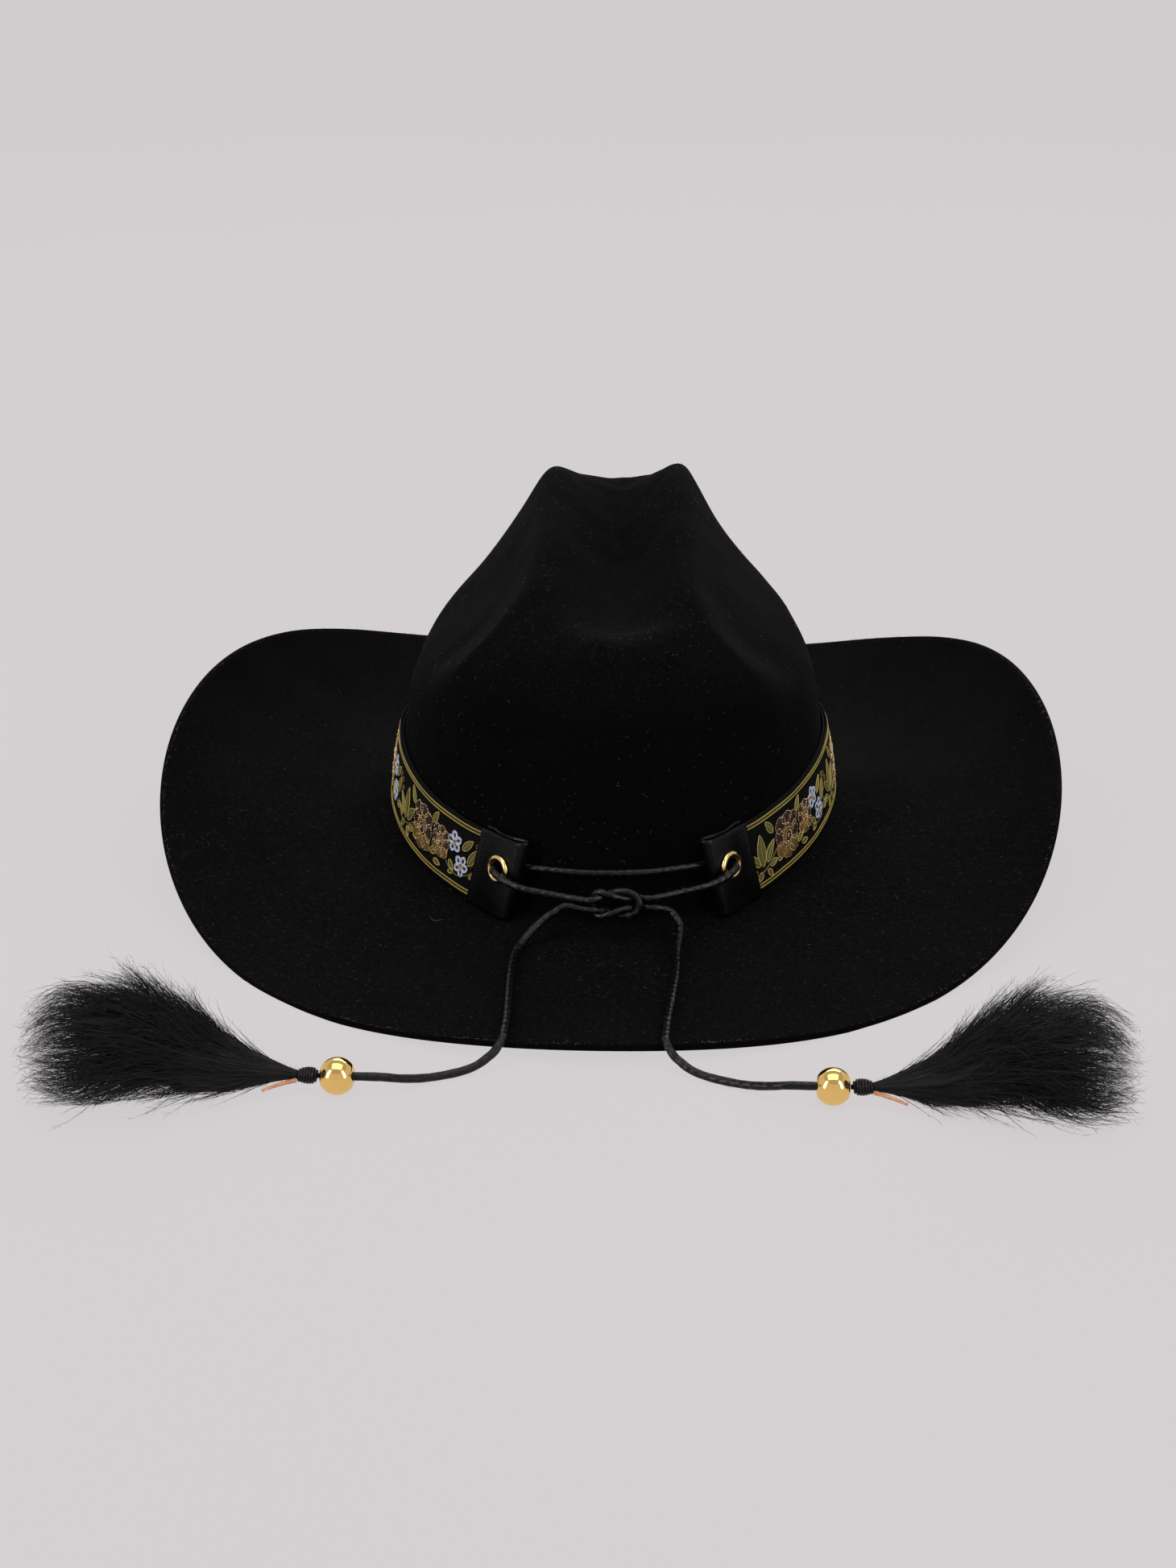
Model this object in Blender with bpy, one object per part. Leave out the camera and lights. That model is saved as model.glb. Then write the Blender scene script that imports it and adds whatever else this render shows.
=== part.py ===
"""Western felt hat with an embroidered ribbon band, laced at the back, and two feather tassels.

World frame in metres: +Z up, +Y toward the front of the hat, the hat and tassels rest on z = 0.
Working dimensions are millimetres, measured from the crown axis; add_mesh converts them.
"""

import math

import bmesh
import bpy
from mathutils import Vector

MM = 0.001

# Placement
CROWN_Y = 23.27            # crown axis ahead of the middle of the whole object
TIE_AZIMUTH = -86.1        # direction of the lace knot round the crown, -90 is straight back
CROWN_TWIST = 3.6          # the blocked crease runs slightly skew to the brim

# Felt
STATIONS = 72              # divisions round the hat
FELT = 2.5                 # felt thickness
BASE_A = 87.5              # half width of the crown opening, outside the felt
BASE_B = 105.0             # half length of the crown opening
BASE_Z = 5.95              # height of the brim break at the back
BASE_SIDE_RISE = 10.96     # the brim break is this much higher at the sides
BASE_QUARTER_SAG = 3.31
BRIM_WIDTH = 95.1
BRIM_SIDE_LOSS = 2.48
BRIM_CURVE_POWER = 1.3
BRIM_FRONT_DROOP = 3.1
REST_SKIM = 0.8            # brim underside closer to the table than this lies flat on it
WALL_TAPER = 0.05 / 28.0   # share of the oval lost per millimetre of height
CAP_SIDE_Z = 60.0          # where the wall starts to round over at the sides
CAP_BACK_Z = 74.0
CAP_FRONT_Z = 92.0
TOP_HEIGHTS = [(-97.0, 110.0), (-75.0, 117.5), (-48.0, 121.0), (-25.0, 125.0), (0.0, 132.5),
               (30.0, 139.5), (60.0, 146.5), (78.0, 148.5), (97.0, 148.0)]
RIDGE_HALF = 23.0          # half distance between the two top ridges
BOWL_HALF = 27.0           # half width of the long crease between them
BOWL_BACK = -46.0          # the crease rounds off behind this
BOWL_FLOOR = [(-97.0, 99.0), (-70.0, 98.0), (-45.0, 99.0), (-20.0, 102.0), (10.0, 106.5),
              (40.0, 115.0), (62.0, 121.5), (76.0, 124.0), (97.0, 118.0)]
FOLD_X = 52.0              # each side dent ends at the back in an oval fold about this point
FOLD_Y = -5.0
FOLD_REACH_X = 27.0
FOLD_REACH_Y = 51.0
FOLD_WIDTH = 20.0          # over which the dent reaches its full depth
CREASE_SHIFT = 2.0
CENTRE_END = 70.0          # half length of the line the crown closes on
FELT_SMOOTHING = 12
BRIM_STEPS = 7
CROWN_STEPS = 22

# Sweatband
SWEAT_GAP = 1.1
SWEAT_THICK = 0.9
SWEAT_HEIGHT = 40.0
REED_RADIUS = 1.0

# Hatband
BAND_LOW = 1.4
BAND_WIDTH = 27.5
BAND_GAP = 0.5
BACKING_THICK = 0.6
RIBBON_THICK = 0.7
BAND_END = 50.5            # ribbon end, measured from the knot along the crown
BAND_STATIONS = 66

# Leather tabs, eyelets
TAB_HEIGHT = 29.5
TAB_LOW = 0.4
TAB_THICK = 1.0
TAB_SLANT = 5.0
EYELET_U = 41.2
EYELET_H = 18.0
EYELET_OUTER = 5.4
EYELET_BORE = 3.1
EYELET_BARREL = 3.55
WASHER_OUTER = 4.9

# Cord, beads, tassels
CORD_R = 1.4
CORD_SIDES = 8
PIECE_GAP = 0.4
KNOT_H = 12.6
KNOT_N = 13.0
BEAD_R = 6.2
BEAD_HALF = 5.35
BEAD_BORE = 1.75
BEAD_TRAVEL_CORD = 14.0
NECK_R = 2.0
PLUME_R = 21.0
QUILL_R = 0.9

# Tail cord from the brim edge to the straight part: share along, share back, height
TAIL_BEND = [(0.04, 0.11, 6.9), (0.10, 0.26, 4.2), (0.19, 0.37, 2.2), (0.34, 0.47, 1.6),
             (0.52, 0.60, 1.6), (0.70, 0.76, 2.3), (0.87, 0.93, 4.9)]

SIDES = {
    "left": {"s": -1.0, "bead": (-78.4, -223.1), "edge_x": -26.6, "tip": -178.2,
             "plume_y": -226.0},
    "right": {"s": 1.0, "bead": (82.5, -222.3), "edge_x": 27.8, "tip": 178.2,
              "plume_y": -220.0},
}


def clamp01(v):
    return max(0.0, min(1.0, v))


def smooth(v):
    v = clamp01(v)
    return v * v * (3.0 - 2.0 * v)


def spline(points, count):
    """Points evenly spread along a smooth curve through the given ones."""
    pts = [Vector(p) for p in points]
    pts = [pts[0] * 2 - pts[1]] + pts + [pts[-1] * 2 - pts[-2]]
    fine = []
    for k in range(1, len(pts) - 2):
        a, b, c, d = pts[k - 1:k + 3]
        for j in range(16):
            x = j / 16.0
            fine.append(0.5 * ((2 * b) + (c - a) * x + (2 * a - 5 * b + 4 * c - d) * x * x
                               + (3 * b - a - 3 * c + d) * x ** 3))
    fine.append(pts[-2].copy())
    run = [0.0]
    for p, q in zip(fine, fine[1:]):
        run.append(run[-1] + (q - p).length)
    out = []
    k = 0
    for i in range(count):
        want = run[-1] * i / (count - 1)
        while k < len(run) - 2 and run[k + 1] < want:
            k += 1
        span = max(run[k + 1] - run[k], 1e-9)
        out.append(fine[k].lerp(fine[k + 1], clamp01((want - run[k]) / span)))
    return out


# ---------------------------------------------------------------- felt surface

def base_z(t):
    c2 = math.cos(t) ** 2
    return BASE_Z + BASE_SIDE_RISE * c2 - BASE_QUARTER_SAG * math.sin(2 * t) ** 2


def oval_normal(t):
    return Vector((math.cos(t) / BASE_A, math.sin(t) / BASE_B, 0.0)).normalized()


def brim_angle(t, s):
    """Slope of the brim, in degrees, a share s of the way out."""
    c = math.cos(t)
    c2 = c * c
    s1 = math.sin(t)
    start = -2.72 - 10.51 * c2 + 14.77 * c2 * c2 - 2.08 * s1 + 2.04 * s1 * c2
    curl = 7.17 + 48.6 * c2 - 10.7 * c2 * c2 + 3.73 * s1 + 66.49 * s1 * c2
    curl += 1.26 * c * c2
    return start + curl * s ** BRIM_CURVE_POWER


def brim_width(t):
    return BRIM_WIDTH - BRIM_SIDE_LOSS * math.cos(t) ** 2 + 0.19 * math.sin(t)


def brim_point(t, s):
    """Point on the upper face of the brim."""
    steps = 24
    reach = 0.0
    rise = 0.0
    part = brim_width(t) * s / steps
    for k in range(steps):
        slope = math.radians(brim_angle(t, s * (k + 0.5) / steps))
        reach += part * math.cos(slope)
        rise += part * math.sin(slope)
    rise -= BRIM_FRONT_DROOP * s * s * max(0.0, math.sin(t)) ** 4
    p = Vector((BASE_A * math.cos(t), BASE_B * math.sin(t), base_z(t) + rise))
    return p + oval_normal(t) * reach


def wall_scale(h):
    return 1.0 - WALL_TAPER * h


def along_list(points, x):
    """Reading of a short list of (place, value) pairs."""
    for (x0, v0), (x1, v1) in zip(points, points[1:]):
        if x <= x1:
            return v0 + (v1 - v0) * clamp01((x - x0) / (x1 - x0))
    return points[-1][1]


def even_line(points, count):
    """Points evenly spaced along a polyline."""
    run = [0.0]
    for p, q in zip(points, points[1:]):
        run.append(run[-1] + (q - p).length)
    out = []
    k = 0
    for i in range(count):
        want = run[-1] * i / (count - 1)
        while k < len(run) - 2 and run[k + 1] < want:
            k += 1
        share = (want - run[k]) / max(run[k + 1] - run[k], 1e-9)
        out.append(points[k].lerp(points[k + 1], clamp01(share)))
    return out


def fold_share(x, y):
    """0 behind the fold that ends a side dent, rising to 1 inside the dent."""
    u = math.hypot(min(0.0, abs(x) - FOLD_X) / FOLD_REACH_X, min(0.0, y - FOLD_Y) / FOLD_REACH_Y)
    return 1.0 - (1.0 - clamp01((1.0 - u) * 36.0 / FOLD_WIDTH)) ** 2


def crown_height(x, y, rho, a, b, cap_z, rear):
    """Height of the crown top at a plan point; rho is 1 on the crown wall."""
    front = 2.0 + 2.0 * smooth((y + 10.0) / 65.0)
    round_x = (x / a) ** 2
    round_y = abs(y / b) ** (2.0 if y < 0 else front)
    top = along_list(TOP_HEIGHTS, y)
    full = 1.0 - (round_x + round_y) if y > 0 else 1.0 - rho ** 2
    z = cap_z + (top - cap_z) * math.sqrt(max(0.0, full))
    ridge_rho = min(0.97, math.hypot(RIDGE_HALF / a, y / b))
    share = clamp01((1.0 - rho) / (1.0 - ridge_rho))
    ridge_full = 1.0 - (RIDGE_HALF / a) ** 2 - round_y if y > 0 else 1.0 - ridge_rho ** 2
    ridge = cap_z + (top - cap_z) * math.sqrt(max(0.0, ridge_full))
    slope = 0.22 * min(1.0, share / 0.12) ** 0.5 + 0.78 * share ** 1.4
    dented = min(z, cap_z + (ridge - cap_z) * slope)
    ahead = 1.0 - 0.8 * smooth((y - 66.0) / 30.0)
    z += (dented - z) * rear * ahead
    over = min(0.0, y - BOWL_BACK)
    u = math.hypot(x, over) / BOWL_HALF
    bowl = max(0.0, 1.0 - u * u) ** 1.45
    return z - max(0.0, z - along_list(BOWL_FLOOR, y)) * bowl


def crown_profile(t, count):
    """Outer felt line from the brim break up to the middle of the top crease."""
    z0 = base_z(t)
    c = math.cos(t)
    s = math.sin(t)
    end = CAP_FRONT_Z if s > 0 else CAP_BACK_Z
    cap_z = CAP_SIDE_Z + (end - CAP_SIDE_Z) * abs(s) ** 1.8
    rise = cap_z - z0
    pts = []
    for k in range(12):
        w = wall_scale(rise * k / 12)
        pts.append(Vector((BASE_A * w * c, BASE_B * w * s, z0 + rise * k / 12)))
    a = BASE_A * wall_scale(rise)
    b = BASE_B * wall_scale(rise)
    centre_y = CENTRE_END * math.copysign(abs(s) ** 0.80, s)
    turn = math.radians(CROWN_TWIST)
    for k in range(41):
        e = 0.968 * (k / 40) ** 1.8
        x = a * c * (1.0 - e)
        y = b * s + (centre_y - b * s) * e
        rho = min(1.0, math.hypot(x / a, y / b))
        tx = (x - CREASE_SHIFT) * math.cos(turn) + y * math.sin(turn)
        ty = y * math.cos(turn) - (x - CREASE_SHIFT) * math.sin(turn)
        z = crown_height(tx, ty, rho, a, b, cap_z, fold_share(x, y))
        pts.append(Vector((x, y, z)))
    pts = even_line(pts, 120)
    for _ in range(FELT_SMOOTHING):
        pts = [pts[0]] + [(pts[i - 1] + pts[i] * 2 + pts[i + 1]) / 4
                          for i in range(1, len(pts) - 1)] + [pts[-1]]
    return even_line(pts, count)


def angle(i, n=STATIONS):
    return math.radians(-90.0 + 360.0 * i / n)


def felt_grid():
    """Rings from the brim edge inward and up to the crease."""
    rings = []
    for k in range(BRIM_STEPS):
        s = 1.0 - k / BRIM_STEPS
        rings.append([brim_point(angle(i), s) for i in range(STATIONS)])
    lines = [crown_profile(angle(i), CROWN_STEPS + 1) for i in range(STATIONS)]
    for k in range(CROWN_STEPS + 1):
        rings.append([lines[i][k] for i in range(STATIONS)])
    return rings


def grid_normals(rings):
    out = []
    n = len(rings[0])
    for k, ring in enumerate(rings):
        row = []
        before = rings[max(k - 1, 0)]
        after = rings[min(k + 1, len(rings) - 1)]
        for i in range(n):
            across = ring[(i + 1) % n] - ring[i - 1]
            if k == BRIM_STEPS and len(rings) > CROWN_STEPS + 2:
                a = across.cross(ring[i] - before[i]).normalized()
                b = across.cross(after[i] - ring[i]).normalized()
                row.append(a + b)
            else:
                row.append(across.cross(after[i] - before[i]).normalized())
        out.append(row)
    return out


def zip_cap(ring, flip):
    """Faces closing a ring by joining each point to its mirror partner."""
    n = len(ring)
    half = n // 2
    faces = [(ring[0], ring[1], ring[n - 1])]
    for i in range(1, half - 1):
        faces.append((ring[i], ring[i + 1], ring[n - i - 1], ring[n - i]))
    faces.append((ring[half - 1], ring[half], ring[half + 1]))
    if flip:
        faces = [tuple(reversed(f)) for f in faces]
    return faces


# ---------------------------------------------------------------- mesh helpers

def material(name, colour, rough, metal=0.0):
    mat = bpy.data.materials.new(name)
    mat.use_nodes = True
    node = mat.node_tree.nodes["Principled BSDF"]
    node.inputs["Base Color"].default_value = (*colour, 1.0)
    node.inputs["Roughness"].default_value = rough
    node.inputs["Metallic"].default_value = metal
    mat.diffuse_color = (*colour, 1.0)
    return mat


def add_mesh(name, verts, faces, mat, origin=(0.0, 0.0, 0.0)):
    """Add one closed object; verts and origin are millimetres from the crown axis."""
    o = Vector(origin)
    mesh = bpy.data.meshes.new(name)
    mesh.from_pydata([(Vector(v) - o) * MM for v in verts], [], faces)
    bm = bmesh.new()
    bm.from_mesh(mesh)
    bmesh.ops.recalc_face_normals(bm, faces=bm.faces)
    bm.to_mesh(mesh)
    bm.free()
    for poly in mesh.polygons:
        poly.use_smooth = True
    obj = bpy.data.objects.new(name, mesh)
    obj.location = (o + Vector((0.0, CROWN_Y, 0.0))) * MM
    obj.data.materials.append(mat)
    bpy.context.scene.collection.objects.link(obj)
    return obj


def loft(rings, ring_closed=True, loop=False):
    """Faces over rings of equal length; open ends get one n-gon each."""
    n = len(rings[0])
    verts = [p for ring in rings for p in ring]
    faces = []
    rows = len(rings) if loop else len(rings) - 1
    for k in range(rows):
        a = k * n
        b = ((k + 1) % len(rings)) * n
        for i in range(n if ring_closed else n - 1):
            j = (i + 1) % n
            faces.append((a + i, a + j, b + j, b + i))
    if not loop:
        faces.append(tuple(range(n - 1, -1, -1)))
        faces.append(tuple((len(rings) - 1) * n + i for i in range(n)))
    return verts, faces


def tube(path, radius, sides=CORD_SIDES, closed=False, round_ends=True):
    """Rings of a round cord along a path, with domed ends."""
    path = [Vector(p) for p in path]
    n = len(path)
    tangents = []
    for k in range(n):
        if closed:
            d = path[(k + 1) % n] - path[k - 1]
        else:
            d = path[min(k + 1, n - 1)] - path[max(k - 1, 0)]
        tangents.append(d.normalized())
    seed = Vector((0.0, 0.0, 1.0))
    if abs(tangents[0].dot(seed)) > 0.9:
        seed = Vector((0.0, 1.0, 0.0))
    side = tangents[0].cross(seed).normalized()
    frames = []
    for k in range(n):
        side = (side - tangents[k] * side.dot(tangents[k])).normalized()
        frames.append((side.copy(), tangents[k].cross(side)))
    if closed:
        last_side, last_up = frames[-1]
        back = (last_side - tangents[0] * last_side.dot(tangents[0])).normalized()
        s0, u0 = frames[0]
        off = math.atan2(back.dot(u0), back.dot(s0))
        fixed = []
        for k, (s, u) in enumerate(frames):
            a = -off * k / n
            fixed.append((s * math.cos(a) + u * math.sin(a), u * math.cos(a) - s * math.sin(a)))
        frames = fixed

    def ring(centre, frame, r):
        s, u = frame
        out = []
        for i in range(sides):
            a = 2 * math.pi * i / sides
            out.append(centre + s * (r * math.cos(a)) + u * (r * math.sin(a)))
        return out

    rings = []
    if round_ends and not closed:
        rings.append(ring(path[0] - tangents[0] * radius * 0.92, frames[0], radius * 0.35))
        rings.append(ring(path[0] - tangents[0] * radius * 0.62, frames[0], radius * 0.78))
    for k in range(n):
        rings.append(ring(path[k], frames[k], radius))
    if round_ends and not closed:
        rings.append(ring(path[-1] + tangents[-1] * radius * 0.62, frames[-1], radius * 0.78))
        rings.append(ring(path[-1] + tangents[-1] * radius * 0.92, frames[-1], radius * 0.35))
    return loft(rings, loop=closed)


def lathe(profile, centre, axis, up, count=20):
    """Closed ring solid turned about an axis; profile holds (along, radius) pairs."""
    axis = Vector(axis).normalized()
    u = (Vector(up) - axis * Vector(up).dot(axis)).normalized()
    v = axis.cross(u)
    rings = []
    for i in range(count):
        a = 2 * math.pi * i / count
        d = u * math.cos(a) + v * math.sin(a)
        rings.append([Vector(centre) + axis * x + d * r for x, r in profile])
    return loft(rings, loop=True)


# ---------------------------------------------------------------- crown wall coordinates

def arc_table():
    table = [(0.0, math.radians(TIE_AZIMUTH))]
    step = math.radians(0.5)
    t = table[0][1]
    run = 0.0
    for _ in range(720):
        a = t + step / 2
        k = wall_scale(BAND_LOW + BAND_WIDTH / 2)
        run += step * math.hypot(BASE_A * k * math.sin(a), BASE_B * k * math.cos(a))
        t += step
        table.append((run, t))
    return table


ARC = arc_table()
ROUND = ARC[-1][0]


def wall_angle(u):
    """Oval angle a distance u along the crown from the knot."""
    u = u % ROUND
    lo = 0
    hi = len(ARC) - 1
    while hi - lo > 1:
        mid = (lo + hi) // 2
        if ARC[mid][0] <= u:
            lo = mid
        else:
            hi = mid
    share = (u - ARC[lo][0]) / (ARC[hi][0] - ARC[lo][0])
    return ARC[lo][1] + share * (ARC[hi][1] - ARC[lo][1])


def wall(u, h, n):
    """Point u along the crown, h above the brim break, n outside the felt."""
    t = wall_angle(u)
    k = wall_scale(h)
    p = Vector((BASE_A * k * math.cos(t), BASE_B * k * math.sin(t), base_z(t) + h))
    return p + oval_normal(t) * n


def wall_frame(u, h, n):
    o = wall(u, h, n)
    along = (wall(u + 0.5, h, n) - wall(u - 0.5, h, n)).normalized()
    up = wall(u, h + 0.5, n) - wall(u, h - 0.5, n)
    up = (up - along * up.dot(along)).normalized()
    return o, along, up, along.cross(up)


def brim_at(x, s):
    """Point and normal of the upper brim at the back, at a given x."""
    lo = math.radians(-150.0)
    hi = math.radians(-30.0)
    for _ in range(40):
        mid = (lo + hi) / 2
        if brim_point(mid, s).x < x:
            lo = mid
        else:
            hi = mid
    t = (lo + hi) / 2
    p = brim_point(t, s)
    du = brim_point(t + 0.02, s) - brim_point(t - 0.02, s)
    ds = brim_point(t, s) - brim_point(t, s - 0.02)
    n = ds.cross(du).normalized()
    if n.z < 0:
        n = -n
    return p, n


# ---------------------------------------------------------------- pieces

def build_felt(mats):
    outer = felt_grid()
    normals = grid_normals(outer)
    inner = []
    for ring, row in zip(outer, normals):
        inner.append([p - d * FELT for p, d in zip(ring, row)])
    for ring in inner[:BRIM_STEPS + 1]:
        for p in ring:
            if p.z < REST_SKIM:
                p.z = 0.0
    n = STATIONS
    rings = list(reversed(inner)) + outer
    verts = [p for ring in rings for p in ring]
    faces = []
    for k in range(len(rings) - 1):
        for i in range(n):
            j = (i + 1) % n
            faces.append((k * n + i, k * n + j, (k + 1) * n + j, (k + 1) * n + i))
    faces += zip_cap([i for i in range(n)], True)
    faces += zip_cap([(len(rings) - 1) * n + i for i in range(n)], False)
    add_mesh("felt_body", verts, faces, mats["felt"])


def inside_point(t, h, depth):
    k = wall_scale(h)
    p = Vector((BASE_A * k * math.cos(t), BASE_B * k * math.sin(t), base_z(t) + h))
    return p - oval_normal(t) * depth


def build_sweatband(mats):
    near = FELT + SWEAT_GAP
    far = near + SWEAT_THICK
    low = -1.0
    high = SWEAT_HEIGHT
    rings = []
    for i in range(STATIONS):
        t = angle(i)
        rings.append([inside_point(t, low, near), inside_point(t, 16.0, near + 0.1),
                      inside_point(t, high, near + 2.4), inside_point(t, high, far + 2.4),
                      inside_point(t, 16.0, far + 0.1), inside_point(t, low, far)])
    verts, faces = loft(rings, loop=True)
    add_mesh("sweatband", verts, faces, mats["leather"])

    path = []
    for i in range(STATIONS):
        path.append(inside_point(angle(i), low - REED_RADIUS - 0.35, near + REED_RADIUS))
    verts, faces = tube(path, REED_RADIUS, sides=6, closed=True)
    add_mesh("sweatband_reed", verts, faces, mats["leather"])

    t = math.radians(-90.0)
    o = inside_point(t, 30.0, far + 2.4)
    x_axis = Vector((1.0, 0.0, 0.0))
    y_axis = Vector((0.0, 1.0, 0.0))
    widths = [(-9.0, 1.2, 0.6), (-7.5, 3.0, 0.9), (-4.0, 2.2, 0.8), (-1.6, 1.1, 0.8),
              (-1.2, 1.7, 1.2), (1.2, 1.7, 1.2), (1.6, 1.1, 0.8), (4.0, 2.2, 0.8),
              (7.5, 3.0, 0.9), (9.0, 1.2, 0.6)]
    rings = []
    for x, tall, deep in widths:
        c = o + x_axis * x + y_axis * 1.9
        rings.append([c + y_axis * (deep * math.cos(a)) + Vector((0, 0, 1)) * (tall * math.sin(a))
                      for a in [2 * math.pi * k / 8 for k in range(8)]])
    verts, faces = loft(rings)
    add_mesh("sweatband_bow", verts, faces, mats["satin"])


def lift_off(u):
    """Extra stand-off of the band where it enters the leather tabs."""
    edge = min(u, ROUND - u) - BAND_END
    return 1.3 * (1.0 - smooth(edge / 22.0))


def slanted(u, h):
    """The band ends lean the same way as the tabs."""
    edge = min(u, ROUND - u) - BAND_END
    shear = TAB_SLANT * ((h - TAB_LOW) / TAB_HEIGHT - 0.5) * (1.0 - smooth(edge / 26.0))
    return u - shear if u < ROUND / 2 else u + shear


def build_band(mats):
    h0 = BAND_LOW
    h1 = BAND_LOW + BAND_WIDTH
    origin = (0.0, 0.0, BASE_Z)
    layers = [("hatband_backing", BAND_GAP, BACKING_THICK, 0.5),
              ("hatband_ribbon", BAND_GAP + BACKING_THICK + PIECE_GAP, RIBBON_THICK, 0.0)]
    for name, n0, thick, inset in layers:
        rings = []
        for k in range(BAND_STATIONS + 1):
            u = BAND_END + (ROUND - 2 * BAND_END) * k / BAND_STATIONS
            n = n0 + lift_off(u)
            low = h0 + inset
            high = h1 - inset
            ul = slanted(u, low)
            uh = slanted(u, high)
            rings.append([wall(ul, low, n), wall(uh, high, n), wall(uh, high, n + thick),
                          wall(ul, low, n + thick)])
        verts, faces = loft(rings)
        add_mesh(name, verts, faces, mats["ribbon" if name.endswith("ribbon") else "grosgrain"],
                 origin)


TAB_LINE = [(53.5, 4.40), (50.5, 4.45), (47.5, 5.10), (44.2, 6.10), (41.2, 6.95), (38.2, 7.80),
            (35.6, 8.35), (33.9, 7.70), (33.3, 6.30), (33.9, 5.00), (35.8, 4.55), (40.0, 4.45),
            (44.0, 3.90), (47.5, 2.45), (50.5, 1.10), (53.5, 1.00)]


def build_tab(side, mats):
    s = SIDES[side]["s"]
    line = spline([(u, n, 0.0) for u, n in TAB_LINE], 24)
    loop = []
    for k, p in enumerate(line):
        d = (line[min(k + 1, len(line) - 1)] - line[max(k - 1, 0)]).normalized()
        loop.append((p, Vector((-d.y, d.x, 0.0))))
    outline = [p + d * (TAB_THICK / 2) for p, d in loop]
    outline += [p - d * (TAB_THICK / 2) for p, d in reversed(loop)]
    rings = []
    levels = 4
    for k in range(levels + 1):
        h = TAB_LOW + TAB_HEIGHT * k / levels
        shear = TAB_SLANT * (k / levels - 0.5)
        rings.append([wall(s * (p.x - shear), h, p.y) for p in outline])
    count = len(outline)
    verts, faces = loft(rings)
    faces = faces[:-2]
    top = len(rings) - 1
    for k in (0, top):
        base = k * count
        for i in range(len(line) - 1):
            quad = (base + i, base + i + 1, base + count - i - 2, base + count - i - 1)
            faces.append(quad if k else tuple(reversed(quad)))
    tab = add_mesh("tab_" + side, verts, faces, mats["leather"], (0.0, 0.0, BASE_Z))

    o, out = eyelet_frame(side)[:2]
    verts, faces = loft([[o + out * x + d * (EYELET_BARREL + 0.35) for d in circle(side, 20)]
                         for x in (-7.0, 3.0)])
    cutter = add_mesh("tab_cut_" + side, verts, faces, mats["leather"])
    cutter.hide_render = True
    cutter.display_type = "WIRE"
    cut = tab.modifiers.new("eyelet_hole", "BOOLEAN")
    cut.operation = "DIFFERENCE"
    cut.solver = "EXACT"
    cut.object = cutter


def eyelet_frame(side):
    """Centre on the outer leaf, outward axis and two cross axes."""
    s = SIDES[side]["s"]
    o, along, up, out = wall_frame(s * EYELET_U, EYELET_H, 6.95)
    toward_knot = along * -s
    tilt = math.atan2(7.80 - 6.10, 44.2 - 38.2)
    axis = (out * math.cos(tilt) - toward_knot * math.sin(tilt)).normalized()
    cross = (toward_knot * math.cos(tilt) + out * math.sin(tilt)).normalized()
    return o, axis, cross, up


def circle(side, count):
    _, _, cross, up = eyelet_frame(side)
    return [cross * math.cos(2 * math.pi * i / count) + up * math.sin(2 * math.pi * i / count)
            for i in range(count)]


def build_eyelet(side, mats):
    o, axis, _, up = eyelet_frame(side)
    face = TAB_THICK / 2 + 0.35
    bore = EYELET_BORE
    flange = [(-1.9, bore), (-1.9, EYELET_BARREL), (face, EYELET_BARREL), (face, EYELET_OUTER),
              (face + 0.45, EYELET_OUTER - 0.15), (face + 0.95, EYELET_OUTER - 0.8),
              (face + 0.95, bore + 0.75), (face + 0.5, bore + 0.15)]
    verts, faces = lathe(flange, o, axis, up)
    add_mesh("eyelet_" + side, verts, faces, mats["brass"], (0.0, 0.0, BASE_Z))
    back = -TAB_THICK / 2 - 0.4
    washer = [(back, EYELET_BARREL + 0.3), (back, WASHER_OUTER),
              (back - 0.5, WASHER_OUTER), (back - 0.5, EYELET_BARREL + 0.3)]
    verts, faces = lathe(washer, o, axis, up)
    add_mesh("eyelet_washer_" + side, verts, faces, mats["brass"], (0.0, 0.0, BASE_Z))


def knot_centre():
    return wall(0.0, KNOT_H, KNOT_N)


def build_lace(mats):
    leg = []
    for side in ("left", "right"):
        s = SIDES[side]["s"]
        o, axis, cross, up = eyelet_frame(side)
        h = EYELET_H
        outward = [wall(s * 12.4, KNOT_H + 2.2, KNOT_N - 1.2), wall(s * 20.0, 14.4, KNOT_N - 0.8),
                   wall(s * 30.0, 15.6, 12.8), wall(s * 36.8, 17.2, 12.6)]
        inward = [o + axis * 4.3 + cross * 1.3, o + axis * 2.3 - cross * 0.25,
                  o + axis * 0.4 - cross * 0.3, o - axis * 1.2 - cross * 0.1,
                  wall(s * 40.4, h + 0.2, 3.6),
                  wall(s * 38.2, h + 0.4, 2.3), wall(s * 34.0, h + 0.6, 2.1)]
        leg.append(outward + inward)
    span = [wall(u, EYELET_H + 1.0, 2.2) for u in (-26.0, -13.0, 0.0, 13.0, 26.0)]
    path = spline(leg[0] + span + list(reversed(leg[1])), 76)
    verts, faces = tube(path, CORD_R)
    add_mesh("cord_lace", verts, faces, mats["cord"], (0.0, 0.0, BASE_Z))

    o, along, up, out = wall_frame(0.0, KNOT_H, KNOT_N)
    path = []
    turns = 45
    for k in range(turns):
        a = 2 * math.pi * k / turns
        x = 2.55 * (math.sin(a) + 2.0 * math.sin(2 * a))
        y = 1.95 * (math.cos(a) - 2.0 * math.cos(2 * a))
        z = -2.05 * math.sin(3 * a)
        path.append(o + along * x + up * y + out * z)
    verts, faces = tube(path, 1.3, sides=8, closed=True)
    add_mesh("cord_knot", verts, faces, mats["cord"], (0.0, 0.0, BASE_Z))


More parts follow.
